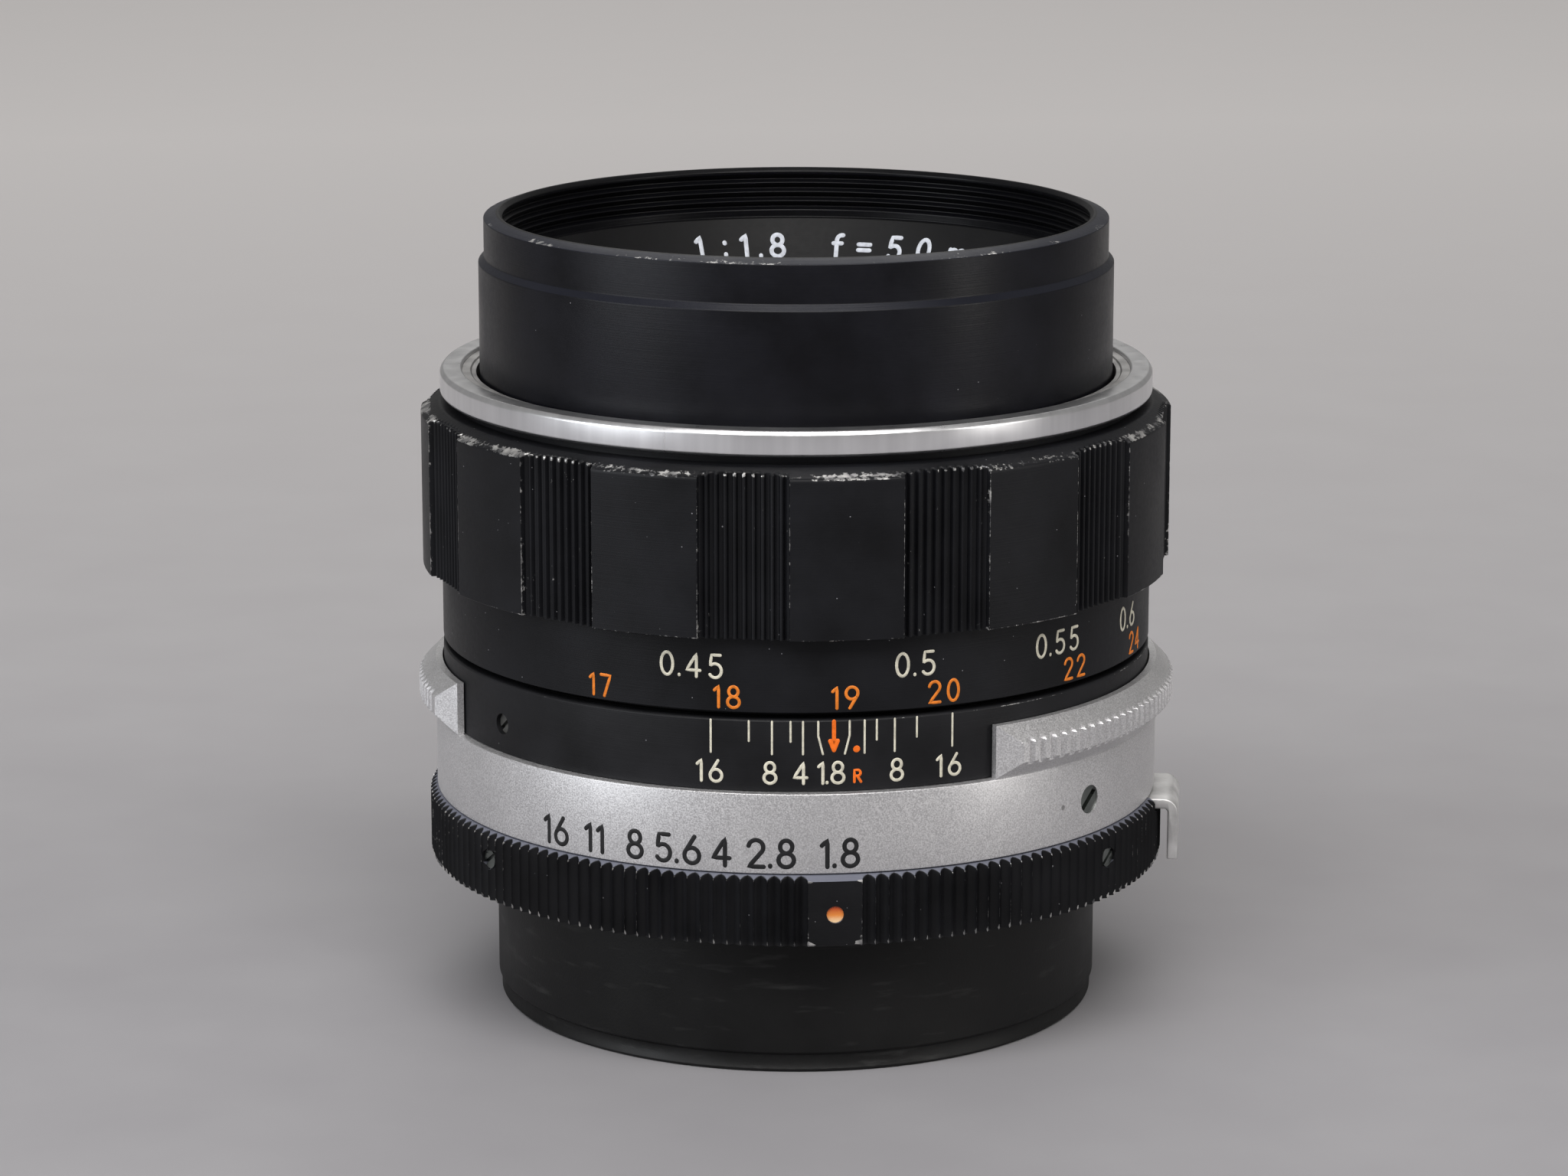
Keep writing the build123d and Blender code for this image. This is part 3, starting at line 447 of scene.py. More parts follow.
cream = enamel_finish("cream_enamel", (0.64, 0.61, 0.50))
white = enamel_finish("white_enamel", (0.60, 0.63, 0.68))
orange = enamel_finish("orange_enamel", (0.74, 0.205, 0.022), 0.45)
index_orange = enamel_finish("index_orange", (0.85, 0.16, 0.014), 0.42)
black_fill = enamel_finish("black_enamel", (0.014, 0.014, 0.015), 0.45)
dot_paint = dot_finish(dot_z, DOT_R)
cap_plastic = plastic_finish()
front_coating = glass_finish("coated_glass", (0.94, 0.95, 1.0), (0.62, 0.45, 1.0))
inner_coating = glass_finish("inner_glass", (0.97, 0.96, 0.92), (1.0, 0.72, 0.45))
print("enamel, plastic and glass made")

# %% [markdown]
# Wear is painted by place. A test looks at each vertex's radius, angle and height and answers how
# much the edge there has been rubbed, from 0 to 1.

# %% Wear painter


def paint_wear(piece, test):
    values = piece.data.attributes.new("wear", "FLOAT", "POINT")
    for vertex in piece.data.vertices:
        x, y, z = vertex.co / MM
        amount = test(math.hypot(x, y), math.degrees(math.atan2(x, -y)), z)
        values.data[vertex.index].value = amount


def near(value, target, reach):
    return max(0.0, 1.0 - abs(value - target) / reach)


# %% [markdown]
# Screw holes are drilled into the finished rings. One cylinder is added for each hole, turned so
# that it points at the axis, and the Boolean takes them away one by one. A slot is cut by the same
# tool. A ring that covers only part of the turn is made whole and then bisected twice.

# %% Drill and cut


def drill_bit(radius, floor, outer, height, angle):
    """A cylinder that reaches in from outside a ring down to the hole's floor."""
    x, y = polar((floor + outer) / 2, angle)
    bpy.ops.mesh.primitive_cylinder_add(vertices=36, radius=radius * MM, depth=(outer - floor) * MM,
                                        location=(x * MM, y * MM, height * MM),
                                        rotation=(math.pi / 2, 0, math.radians(angle)))
    return bpy.context.object


def cut_away(piece, cutters, sharp=40):
    """Subtract the cutters from a piece, then shade it again."""
    for cutter in cutters:
        tool = piece.modifiers.new("cut", "BOOLEAN")
        tool.operation = "DIFFERENCE"
        tool.solver = "EXACT"
        tool.object = cutter
        deselect_all()
        piece.select_set(True)
        bpy.context.view_layer.objects.active = piece
        bpy.ops.object.modifier_apply(modifier=tool.name)
        bpy.data.objects.remove(cutter)
    bpy.ops.object.shade_smooth_by_angle(angle=math.radians(sharp))


def bisect_at(degrees, keep_positive):
    """Cut the active piece along the axis at an angle, and throw one side away."""
    x, y = polar(1, degrees + 90)
    side = 1 if keep_positive else -1
    bpy.ops.object.mode_set(mode="EDIT")
    bpy.ops.mesh.select_all(action="SELECT")
    bpy.ops.mesh.bisect(plane_co=(0, 0, 0), plane_no=(-side * x, -side * y, 0), clear_outer=True,
                        use_fill=True)
    bpy.ops.object.mode_set(mode="OBJECT")


# %% [markdown]
# The rear cap is a plain moulded cup. It has a shallow recess under it, a narrow finely ribbed
# band at the foot, and a thin lip. It is turned from one section; then every second vertex of the
# band is selected and scaled towards the axis to cut the ribs.

# %% Rear cap
CAP_WALL = 1.2
CAP_FLOOR = 2.0
CAP_RECESS = 0.35
CAP_FOOT_W = 3.4
RIB_DEPTH = 0.13
RIB_LOW = 0.30
RIB_HIGH = 1.45


def make_cap():
    inside = cap_r - CAP_WALL
    foot = cap_r - 0.22
    section = [(0, CAP_RECESS), (cap_r - CAP_FOOT_W, CAP_RECESS), (cap_r - CAP_FOOT_W - 0.3, 0.0),
               (foot - 0.25, 0.0), (foot, 0.25), (foot, RIB_HIGH), (cap_r, RIB_HIGH + 0.2),
               (cap_r, cap_top - 0.12), (cap_r - 0.12, cap_top), (inside, cap_top),
               (inside, CAP_FLOOR), (0, CAP_FLOOR)]
    piece = turned("rear_cap_cup", section, round_by=0.07)
    bpy.ops.object.mode_set(mode="EDIT")
    bpy.ops.mesh.select_all(action="DESELECT")
    shape = bmesh.from_edit_mesh(piece.data)
    for vertex in shape.verts:
        x, y, z = vertex.co / MM
        step = round((math.degrees(math.atan2(x, -y)) + 180) / 360 * STEPS - 0.5)
        vertex.select = math.hypot(x, y) > foot - 0.05 and RIB_LOW < z < RIB_HIGH - 0.02 and step % 2 == 0
    shape.select_flush_mode()
    bmesh.update_edit_mesh(piece.data)
    shrink = 1 - RIB_DEPTH / cap_r
    bpy.ops.transform.resize(value=(shrink, shrink, 1))
    bpy.ops.object.mode_set(mode="OBJECT")
    give(piece, cap_plastic)
    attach(piece, "cap")
    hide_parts("rear_cap")
    report(piece)


make_cap()

# %% [markdown]
# The mount ring is knurled: straight round-bottomed grooves between sharp crests, all round except
# on a plain land that carries the index dot. Each groove ends in an arch, because the top edge is
# chamfered across it. The outline below lists each groove's flanks and bottom, and the turned
# section is held inside it, which gives those arches by itself. Three holes take the set screws,
# one shallow hollow takes the dot, and a long slot in the rim lets the coupling prong swing.

# %% Mount ring
KNURL_PITCH = 2.0
KNURL_DEPTH = 0.54
KNURL_CURVE = ((0.94, 0.2), (0.81, 0.4), (0.61, 0.6), (0.34, 0.8), (0.0, 1.0))
LAND_DEG = 4.0
BEVEL_IN = 0.5
BEVEL_H = 0.33
MOUNT_BORE = 25.0
SET_SCREWS = (-60.5, 50.5, 180)
set_screw_z = mount_low + 3.2
SLOT_BEFORE = 8.8
SLOT_AFTER = 54.0
PRONG_DEG = 79.0
PRONG_W = 7.8
PRONG_T = 0.8
prong_top = dial_low - 0.3


def knurl_outline(radius):
    """Sharp crests with round hollows between them."""
    outline = [(a, FAR) for a in (-LAND_DEG, -2.7, -1.3, 0, 1.3, 2.7, LAND_DEG)]
    count = int((360 - 2 * LAND_DEG) / KNURL_PITCH)
    for k in range(count):
        middle = LAND_DEG + KNURL_PITCH * (k + 0.5)
        for share, depth in KNURL_CURVE:
            for side in ((-1, 1) if share else (1,)):
                outline.append((middle + side * share * KNURL_PITCH / 2, radius - depth * KNURL_DEPTH))
        if k < count - 1:
            outline.append((middle + KNURL_PITCH / 2, FAR))
    return sorted(((a + 180) % 360 - 180, r) for a, r in outline)


def make_mount_ring():
    bevel_low = mount_top - BEVEL_H
    section = [(MOUNT_BORE, mount_low), (mount_r - 0.18, mount_low), (mount_r, mount_low + 0.18),
               (mount_r, mount_low + 0.5), (mount_r, mount_low + 2.0), (mount_r, bevel_low - 1.5),
               (mount_r, bevel_low - 0.14), (mount_r, bevel_low)]
    for _, depth in KNURL_CURVE[:-1]:
        share = depth * KNURL_DEPTH / BEVEL_IN
        section.append((mount_r - BEVEL_IN * share, bevel_low + BEVEL_H * share))
    section += [(mount_r - BEVEL_IN, mount_top), (MOUNT_BORE, mount_top)]
    piece = turned("mount_ring_knurled", section, knurl_outline(mount_r), round_by=0)
    cutters = [drill_bit(0.8, MOUNT_BORE + 0.4, mount_r + 1, set_screw_z, a) for a in SET_SCREWS]
    cutters.append(drill_bit(DOT_R, mount_r - 0.5, mount_r + 1, dot_z, 0))
    slot_low = prong_top - PRONG_T - 0.3
    slot_in = dial_r - 2.2
    slot = turned("slot", [(slot_in, slot_low), (mount_r + 1, slot_low), (mount_r + 1, mount_top + 1),
                           (slot_in, mount_top + 1)], round_by=0)
    bisect_at(PRONG_DEG - SLOT_BEFORE, True)
    bisect_at(PRONG_DEG + SLOT_AFTER, False)
    cut_away(piece, cutters + [slot])

    def rubbed(r, a, z):
        crest = near(r, mount_r, 0.05)
        shoulder = near(r, mount_r, 0.20)
        top = near(z, bevel_low, 0.12)
        foot = max(near(z, mount_low + 0.18, 0.31), near(z, mount_low, 0.1))
        if abs(a) < LAND_DEG - 0.1:
            return crest * 0.35 * max(top, foot)
        return max(0.62 * near(r, mount_r, 0.12), 1.7 * top * shoulder, 2.3 * foot * shoulder)

    paint_wear(piece, rubbed)
    give(piece, mount_black)
    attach(piece, "root")
    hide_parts("mount_ring")
    report(piece)


make_mount_ring()

# %% [markdown]
# The aperture ring is one plain ring with two raised grips, like ears, that reach up round the
# scale ring. The ring is turned, and a hole is drilled for its slotted screw. Each grip is turned
# as well, with a serrated outline, and then bisected twice along the axis so that only its own
# stretch is left, with flat ends.

# %% Aperture ring
LUG_SPANS = ((25.8, 107.8), (-154.2, -72.2))
LUG_RAMP = 3.2
LUG_PITCH = 2.05
DIAL_BORE = 25.56
DIAL_SCREW_R = 1.1
DIAL_SCREW_Z = 19.73
DIAL_SCREW_DEG = 45.9


def lug_outline(start, end):
    """Ramp up, serrations, ramp down, and a small radius for the rest of the turn."""
    steps = [k / 8 for k in range(9)]
    outline = [(start - 3, dial_r - 0.3), (start - 0.6, dial_r - 0.3)]
    outline += [(start + LUG_RAMP * t, dial_r + (lug_r - dial_r) * t) for t in steps]
    angle = start + LUG_RAMP + 1.5
    while angle < end - LUG_RAMP - 1.2:
        for offset, depth in ((-0.66, 0.0), (-0.12, 0.36), (0.12, 0.36), (0.66, 0.0)):
            outline.append((angle + offset, lug_r - depth))
        angle += LUG_PITCH
    outline += [(end - LUG_RAMP * t, dial_r + (lug_r - dial_r) * t) for t in reversed(steps)]
    outline += [(end + 0.6, dial_r - 0.3), (end + 3, dial_r - 0.3)]
    rest = end + 10
    while rest < start + 350:
        outline.append((rest, dial_r - 0.3))
        rest += 8
    return sorted(((a + 180) % 360 - 180, r) for a, r in outline)


def make_lug(start, end):
    inside = scale_r + 0.12
    slope = lug_r - dial_r
    steps = (0.125, 0.25, 0.375, 0.5, 0.625, 0.75, 0.81, 0.875, 0.94, 1.0)
    section = [(inside, dial_top - 0.5), (dial_r - 0.1, dial_top - 0.5), (dial_r - 0.02, dial_top + 0.05)]
    section += [(dial_r + slope * t, dial_top + 0.05 + slope * t) for t in steps]
    section += [(dial_r + slope * t, lug_top - slope * t) for t in reversed(steps)]
    section += [(dial_r, lug_top), (inside, lug_top)]
    piece = turned("lug", section, lug_outline(start, end), round_by=0)
    bpy.ops.object.mode_set(mode="EDIT")
    bpy.ops.mesh.select_all(action="SELECT")
    bpy.ops.mesh.quads_convert_to_tris(quad_method="LONGEST_DIAGONAL")
    bpy.ops.object.mode_set(mode="OBJECT")
    bisect_at(start + 0.05, True)
    bisect_at(end - 0.05, False)
    return piece


def make_aperture_ring():
    ring = turned("aperture_ring_silver", [
        (DIAL_BORE, dial_low), (dial_r, dial_low), (dial_r, dial_top), (DIAL_BORE, dial_top)], round_by=0.12)
    hole = drill_bit(DIAL_SCREW_R, DIAL_BORE - 0.5, dial_r + 1, DIAL_SCREW_Z, DIAL_SCREW_DEG)
    cut_away(ring, [hole], sharp=30)
    lugs = [make_lug(start, end) for start, end in LUG_SPANS]
    deselect_all()
    for lug in lugs:
        lug.select_set(True)
    ring.select_set(True)
    bpy.context.view_layer.objects.active = ring
    bpy.ops.object.join()
    bpy.ops.object.shade_smooth_by_angle(angle=math.radians(24))
    give(ring, silver)
    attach(ring, "aperture_dial")
    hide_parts("aperture_ring")
    report(ring)


make_aperture_ring()

# %% [markdown]
# The depth scale ring is a plain black band. The focus ring above it is one piece: a plain skirt
# with the distance scale, and a fluted grip. Each flute is a shallow hollow with fine ridges, and
# the lands between them are smooth. The same trick as on the mount ring gives the flute ends.

# %% Depth scale ring and focus grip
FLUTES = 12
FLUTE_FIRST = 16.6
FLUTE_DEG = 13.4
FLUTE_DEPTH = 0.62
RIDGES = 9
RIDGE_H = 0.24
SCALE_H = 5.73
CONE_H = 0.72
NECK_H = 0.62
CONE_IN = 1.4
DEPTH_SCREWS = (-59.2, 60.8, 180.8)
DEPTH_SCREW_Z = 25.3


def make_depth_ring():
    inside = scale_r - 1.15
    ring = turned("depth_scale_band", [
        (inside, depth_low), (scale_r, depth_low), (scale_r, depth_top - 0.12),
        (scale_r - 0.12, depth_top), (inside, depth_top)], round_by=0.06)
    cut_away(ring, [drill_bit(0.8, inside - 0.5, scale_r + 1, DEPTH_SCREW_Z, a) for a in DEPTH_SCREWS])

    def rubbed(r, a, z):
        return (0.90 if a > 20 else 0.74) * near(z, depth_top - 0.1, 0.12) * (r > scale_r - 0.3)

    paint_wear(ring, rubbed)
    give(ring, scale_black)
    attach(ring, "root")
    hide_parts("depth_scale_ring")
    report(ring)


def flute_outline():
    """Land, step, ridges in a hollow, step, for each flute."""
    outline = []
    half = FLUTE_DEG / 2
    ridge_pitch = (FLUTE_DEG - 1.0) / RIDGES
    for k in range(FLUTES):
        middle = FLUTE_FIRST + 360 * k / FLUTES
        points = [(-half, FAR), (-half + 0.05, grip_r - 0.06), (-half + 0.12, grip_r - 0.40)]
        for n in range(RIDGES):
            centre = -half + 0.5 + ridge_pitch * (n + 0.5)
            floor = grip_r - FLUTE_DEPTH + 0.28 * (centre / half) ** 2
            points += [(centre - 0.42, floor - RIDGE_H), (centre - 0.20, floor + 0.05),
                       (centre, floor + 0.10), (centre + 0.20, floor + 0.05),
                       (centre + 0.42, floor - RIDGE_H)]
        points += [(half - 0.12, grip_r - 0.40), (half - 0.05, grip_r - 0.06), (half, FAR)]
        land = 360 / FLUTES - FLUTE_DEG
        points += [(half + 0.25, FAR)] + [(half + land * s, FAR) for s in (0.12, 0.3, 0.5, 0.7, 0.88)]
        points += [(half + land - 0.25, FAR)]
        outline += [((middle + a + 180) % 360 - 180, r) for a, r in points]
    return sorted(outline)


def make_focus_grip():
    grip_low = scale_low + SCALE_H
    cone_top = neck_top - NECK_H
    cone_low = cone_top - CONE_H
    cone_r = grip_r - CONE_IN
    section = [(barrel_r + 1.5, scale_low), (scale_r - 0.06, scale_low), (scale_r, scale_low + 0.06),
               (scale_r, grip_low - 0.04), (scale_r + 0.04, grip_low), (grip_r - 0.06, grip_low),
               (grip_r, grip_low + 0.06), (grip_r, grip_low + 0.25), (grip_r, cone_low - 0.25),
               (grip_r, cone_low - 0.04)]
    for share in (0.04, 0.16, 0.28, 0.40, 0.52, 0.64, 0.76, 0.88, 1.0):
        section.append((grip_r - CONE_IN * share, cone_low + CONE_H * share))
    section += [(cone_r - 0.1, cone_top), (grip_r - 2.5, cone_top), (grip_r - 2.5, neck_top),
                (barrel_r + 1.5, neck_top)]
    piece = turned("focus_grip_fluted", section, flute_outline(), round_by=0)

    def rubbed(r, a, z):
        if z < grip_low - 0.1:
            return 0.0
        within = (a - FLUTE_FIRST) % (360 / FLUTES)
        side = min(abs(within - FLUTE_DEG / 2), abs(within - (360 / FLUTES - FLUTE_DEG / 2)))
        on_land = r > grip_r - 0.08
        top = near(z, cone_low, 0.22) * on_land * 0.76
        bottom = near(z, grip_low + 0.04, 0.10) * on_land * 0.80
        edge = near(side, 0.0, 0.2) * on_land * 0.68
        ridge = 0.78 * (grip_r - 0.75 < r < grip_r - 0.2) * max(near(z, cone_low + 0.2, 0.5), 0.45)
        return max(top, bottom, edge, ridge)

    paint_wear(piece, rubbed)
    give(piece, grip_black)
    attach(piece, "focus_ring")
    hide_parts("focus_grip")
    report(piece)


make_depth_ring()
make_focus_grip()

# %% [markdown]
# The bright band is a narrow polished ring with small bevels. Just inside it a dull grey seal
# ring closes the gap to the barrel. Both turn with the focus ring.

# %% Bright band and dust seal


def make_band():
    inside = seal_r
    band = turned("bright_band_polished", [
        (inside, band_low), (band_r - 0.2, band_low), (band_r, band_low + 0.22),
        (band_r, band_top - 0.30), (band_r - 0.24, band_top), (inside + 0.1, band_top),
        (inside, band_top - 0.1)], round_by=0.09)
    paint_wear(band, lambda r, a, z: near(z, band_top - 0.15, 0.3) * (r > band_r - 0.4))
    give(band, bright)
    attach(band, "focus_ring")
    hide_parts("bright_band")
    report(band)
    bore = barrel_r + 0.27
    seal = turned("dust_seal_turned", [
        (bore, seal_low), (seal_r - 0.01, seal_low), (seal_r - 0.01, seal_top), (bore + 0.45, seal_top),
        (bore + 0.35, seal_top - 0.12), (bore, seal_top - 0.12)], round_by=0.04)
    give(seal, seal_grey)
    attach(seal, "focus_ring")
    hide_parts("dust_seal_ring")
    report(seal)


make_band()

# %% [markdown]
# The front barrel is a thin tube with a step near the front, where a hood pushes on. Its rim is
# bevelled, and its inside carries the filter thread: a few V grooves. The name ring below it is a
# steep black cone with white lettering, and the ring nut under that holds the front glass.

# %% Front barrel, name ring and front glass
STEP_DOWN = 3.75
LIP_IN = 0.43
RIM_BEVEL = 0.37
FILTER_R = 22.6
THREAD_PITCH = 0.75
THREAD_DEPTH = 0.40


def make_front_barrel():
    lip = barrel_r - LIP_IN
    wall = FILTER_R
    section = [(wall - 1.2, name_low - 1.3), (barrel_r - 0.7, name_low - 1.3), (barrel_r - 0.7, barrel_low),
               (barrel_r, barrel_low), (barrel_r, rim_z - STEP_DOWN), (lip, rim_z - STEP_DOWN + 0.48),
               (lip, rim_z - RIM_BEVEL), (wall + 0.42, rim_z), (wall + 0.3, rim_z), (wall, rim_z - 0.3)]
    height = rim_z - 0.55
    while height > name_top + THREAD_PITCH:
        section += [(wall, height), (wall + THREAD_DEPTH, height - THREAD_PITCH / 2 + 0.06),
                    (wall + THREAD_DEPTH, height - THREAD_PITCH / 2 - 0.06),
                    (wall, height - THREAD_PITCH + 0.1)]
        height -= THREAD_PITCH
    section += [(wall, name_top), (name_r + 0.02, name_top), (name_r + 0.02, name_low - 0.05),
                (wall - 1.2, name_low - 0.05)]
    piece = turned("front_barrel_turned", section, round_by=0.07)

    def rubbed(r, a, z):
        rim = near(z, rim_z - RIM_BEVEL + 0.02, 0.10) * (r > lip - 0.25) * (0.85 if -70 < a < -5 else 0.70)
        inner = near(z, rim_z - 0.03, 0.08) * 0.5
        step = near(z, rim_z - STEP_DOWN, 0.12) * (r > barrel_r - 0.2) * 0.5
        return max(rim, inner, step)

    paint_wear(piece, rubbed)
    give(piece, barrel_black)
    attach(piece, "lens_barrel")
    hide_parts("front_barrel")
    report(piece)


def make_name_ring():
    top_in = FILTER_R - 0.6
    low_in = FILTER_R - 3.0
    section = [(low_in, name_low), (name_r, name_low), (name_r, name_top), (top_in, name_top),
               (low_in, name_low + 0.1)]
    piece = turned("name_ring_cone", section, round_by=0.06)
    give(piece, name_black)
    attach(piece, "lens_barrel")
    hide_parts("name_ring")
    report(piece)


def arc_drop(curve, radius):
    """How far a ground surface falls from its crown."""
    return curve - math.sqrt(curve**2 - radius**2)


def make_front_glass():
    glass_r, _, crown = ring_size("front_glass")
    front_curve, back_curve, thick = 36.0, 200.0, 4.6
    stations = [glass_r * k / 24 for k in range(25)]
    section = [(r, crown - arc_drop(front_curve, r)) for r in stations]
    section += [(r, crown - thick - arc_drop(back_curve, r)) for r in reversed(stations)]
    section[0] = (0, crown)
    piece = turned("front_glass_ground", section, round_by=0)
    give(piece, front_coating)
    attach(piece, "lens_barrel")
    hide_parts("front_glass")
    report(piece)


make_front_barrel()
make_name_ring()
make_front_glass()

# %% [markdown]
# The lettering is drawn with an engraver's pantograph alphabet: every figure is a few strokes of
# one width with round ends. A stroke is a poly curve with a round bevel. The curve is made a
# mesh, squashed nearly flat, and wrapped onto the ring, where it stands a hair proud like enamel.

# %% Engraver's alphabet


def arc(cx, cy, rx, ry, start, end, step=15):
    """Points along part of an ellipse, in degrees from +X."""
    count = max(2, int(abs(end - start) / step) + 1)
    angles = [math.radians(start + (end - start) * k / (count - 1)) for k in range(count)]
    return [(cx + rx * math.cos(a), cy + ry * math.sin(a)) for a in angles]


def infinity_loop():
    turns = [math.radians(12 * k) for k in range(31)]
    return [(0.55 + 0.5 * math.sin(t), 0.42 + 0.42 * math.sin(t) * math.cos(t)) for t in turns]


ALPHABET = {
    "0": (0.56, [arc(0.28, 0.5, 0.27, 0.5, 90, 450)]),
    "1": (0.22, [[(0.0, 0.80), (0.20, 1.0), (0.20, 0.0)]]),
    "2": (0.56, [arc(0.28, 0.73, 0.27, 0.27, 170, -35) + [(0.02, 0.0), (0.56, 0.0)]]),
    "3": (0.54, [arc(0.26, 0.76, 0.24, 0.24, 150, -90) + arc(0.26, 0.26, 0.28, 0.26, 90, -150)]),
    "4": (0.60, [[(0.44, 0.0), (0.44, 1.0), (0.0, 0.28), (0.60, 0.28)]]),
    "5": (0.56, [[(0.50, 1.0), (0.12, 1.0), (0.06, 0.56)] + arc(0.27, 0.31, 0.28, 0.31, 128, -145)]),
    "6": (0.56, [arc(0.28, 0.29, 0.28, 0.29, 150, 510) + [(0.06, 0.47), (0.38, 1.0)]]),
    "7": (0.52, [[(0.0, 1.0), (0.52, 1.0), (0.18, 0.0)]]),
    "8": (0.56, [arc(0.28, 0.76, 0.22, 0.24, 270, 630), arc(0.28, 0.26, 0.28, 0.26, 90, 450)]),
    "9": (0.56, [arc(0.28, 0.71, 0.28, 0.29, -30, 330) + [(0.50, 0.53), (0.18, 0.0)]]),
    ".": (-0.18, [[(-0.12, 0.02), (-0.12, 0.05)]]),
    ":": (0.06, [[(0.03, 0.12), (0.03, 0.16)], [(0.03, 0.66), (0.03, 0.70)]]),
    "R": (0.54, [[(0.0, 0.0), (0.0, 1.0)] + arc(0.26, 0.75, 0.24, 0.25, 90, -90) + [(0.0, 0.5)],
                 [(0.24, 0.5), (0.54, 0.0)]]),
    "f": (0.40, [[(0.14, 0.0), (0.14, 0.76)] + arc(0.36, 0.76, 0.22, 0.24, 180, 80),
                 [(0.0, 0.62), (0.36, 0.62)]]),
    "=": (0.52, [[(0.0, 0.34), (0.52, 0.34)], [(0.0, 0.60), (0.52, 0.60)]]),
    "m": (0.80, [[(0.0, 0.0), (0.0, 0.68)], arc(0.20, 0.48, 0.20, 0.20, 180, 0) + [(0.40, 0.0)],
                 arc(0.60, 0.48, 0.20, 0.20, 180, 0) + [(0.80, 0.0)]]),
    "oo": (1.10, [infinity_loop()]),
}


def text_strokes(text, height, middle_x, middle_y, gap=0.40):
    """Strokes of a word, centred on a point of the flat strip, in mm."""
    glyphs = [text] if text in ALPHABET else list(text)
    width = sum(ALPHABET[g][0] for g in glyphs) + gap * (len(glyphs) - 1)
    x = middle_x - width * height / 2
    strokes = []
    for glyph in glyphs:
        advance, lines = ALPHABET[glyph]
        for line in lines:
            strokes.append([(x + px * height, middle_y + (py - 0.5) * height) for px, py in line])
        x += (advance + gap) * height
    return strokes


LONGEST_RUN = 0.3


def finely(points):
    """Split long strokes, so that they bend with the ring."""
    path = [Vector(points[0])]
    for point in points[1:]:
        start, end = path[-1], Vector(point)
        count = max(1, math.ceil((end - start).length / LONGEST_RUN))
        path += [start.lerp(end, k / count) for k in range(1, count + 1)]
    return path


def round_ended(points, width):
    """Points and widths of a stroke, with a short taper past each end."""
    first = (Vector(points[0]) - Vector(points[1])).normalized() * width / 2
    last = (Vector(points[-1]) - Vector(points[-2])).normalized() * width / 2
    taper = ((1.0, 0.12), (0.86, 0.52), (0.5, 0.88))
    head = [(Vector(points[0]) + first * along, size) for along, size in taper]
    tail = [(Vector(points[-1]) + last * along, size) for along, size in reversed(taper)]
    return head + [(Vector(p), 1.0) for p in points] + tail


def enamel_marks(name, strokes, width, wrap, finish, body, proud=0.035):
    """Lay strokes of one width onto a surface. wrap turns (x, y, height) into a place in mm."""
    deselect_all()
    drawing = bpy.data.curves.new(name, "CURVE")
    drawing.dimensions = "3D"
    drawing.bevel_depth = width / 2 * MM
    drawing.bevel_resolution = 2
    drawing.use_fill_caps = True
    for stroke in strokes:
        path = round_ended(finely(stroke), width)
        spline = drawing.splines.new("POLY")
        spline.points.add(len(path) - 1)
        for point, (place, size) in zip(spline.points, path):
            point.co = (place.x * MM, place.y * MM, 0, 1)
            point.radius = size
    piece = bpy.data.objects.new(name, drawing)
    bpy.context.collection.objects.link(piece)
    piece.select_set(True)
    bpy.context.view_layer.objects.active = piece
    bpy.ops.object.convert(target="MESH")
    squash = proud / (width / 2)
    for vertex in piece.data.vertices:
        x, y, z = vertex.co / MM
        vertex.co = Vector(wrap(x, y, z * squash)) * MM
    bpy.ops.object.shade_smooth_by_angle(angle=math.radians(50))
    give(piece, finish)
    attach(piece, body)
    report(piece)
    return piece


def onto_cylinder(radius):
    """Wrap a flat strip, whose x runs from the index, onto a cylinder."""

    def wrap(x, y, rise):
        px, py = polar(radius + rise, math.degrees(x / radius))
        return px, py, y

    return wrap


# %% [markdown]
# The distance scale follows the lens formula. The ring turns 36.73 degrees for each millimetre
# that the barrel moves, so the angle of each mark is worked out from its distance. All the figures
# are engraved half a degree to one side of that. The metre figures are cream, and below them the
# feet and inches are orange.

# %% Distance scale
FOCAL = 50.0
DEG_PER_MM = 360 / 9.8
INFINITY_DEG = 245.5
METRE_Z = scale_low + 3.38
FEET_Z = scale_low + 1.13
INCH = 25.4


def mark_angle(distance):
    """Angle of a distance mark, from the index, for a distance in mm from the film."""
    image = (distance - math.sqrt(distance**2 - 4 * FOCAL * distance)) / 2
    return INFINITY_DEG - DEG_PER_MM * (image - FOCAL)


def along(radius, degrees):
    """Length round a ring, from the index."""
    return math.radians(degrees) * radius


LABEL_SHIFT = 0.5
metres = [(text, mark_angle(float(text) * 1000) + LABEL_SHIFT) for text in
          ("0.45", "0.5", "0.55", "0.6", "0.7", "0.8", "1", "1.2", "1.5", "2", "3", "5", "10")]
metres.append(("oo", INFINITY_DEG + LABEL_SHIFT))
inches = [(str(n), mark_angle(n * INCH) + LABEL_SHIFT) for n in (17, 18, 19, 20, 22, 24, 27, 30)]
feet = [(str(n), mark_angle(n * 12 * INCH) + LABEL_SHIFT) for n in (3, 4, 5, 7, 10, 20)]
feet.append(("oo", INFINITY_DEG + LABEL_SHIFT))
on_scale = onto_cylinder(scale_r)


def scale_row(entries, height, z):
    strokes = []
    for text, angle in entries:
        size = height * 0.8 if text == "oo" else height
        strokes += text_strokes(text, size, along(scale_r, angle), z)
    return strokes


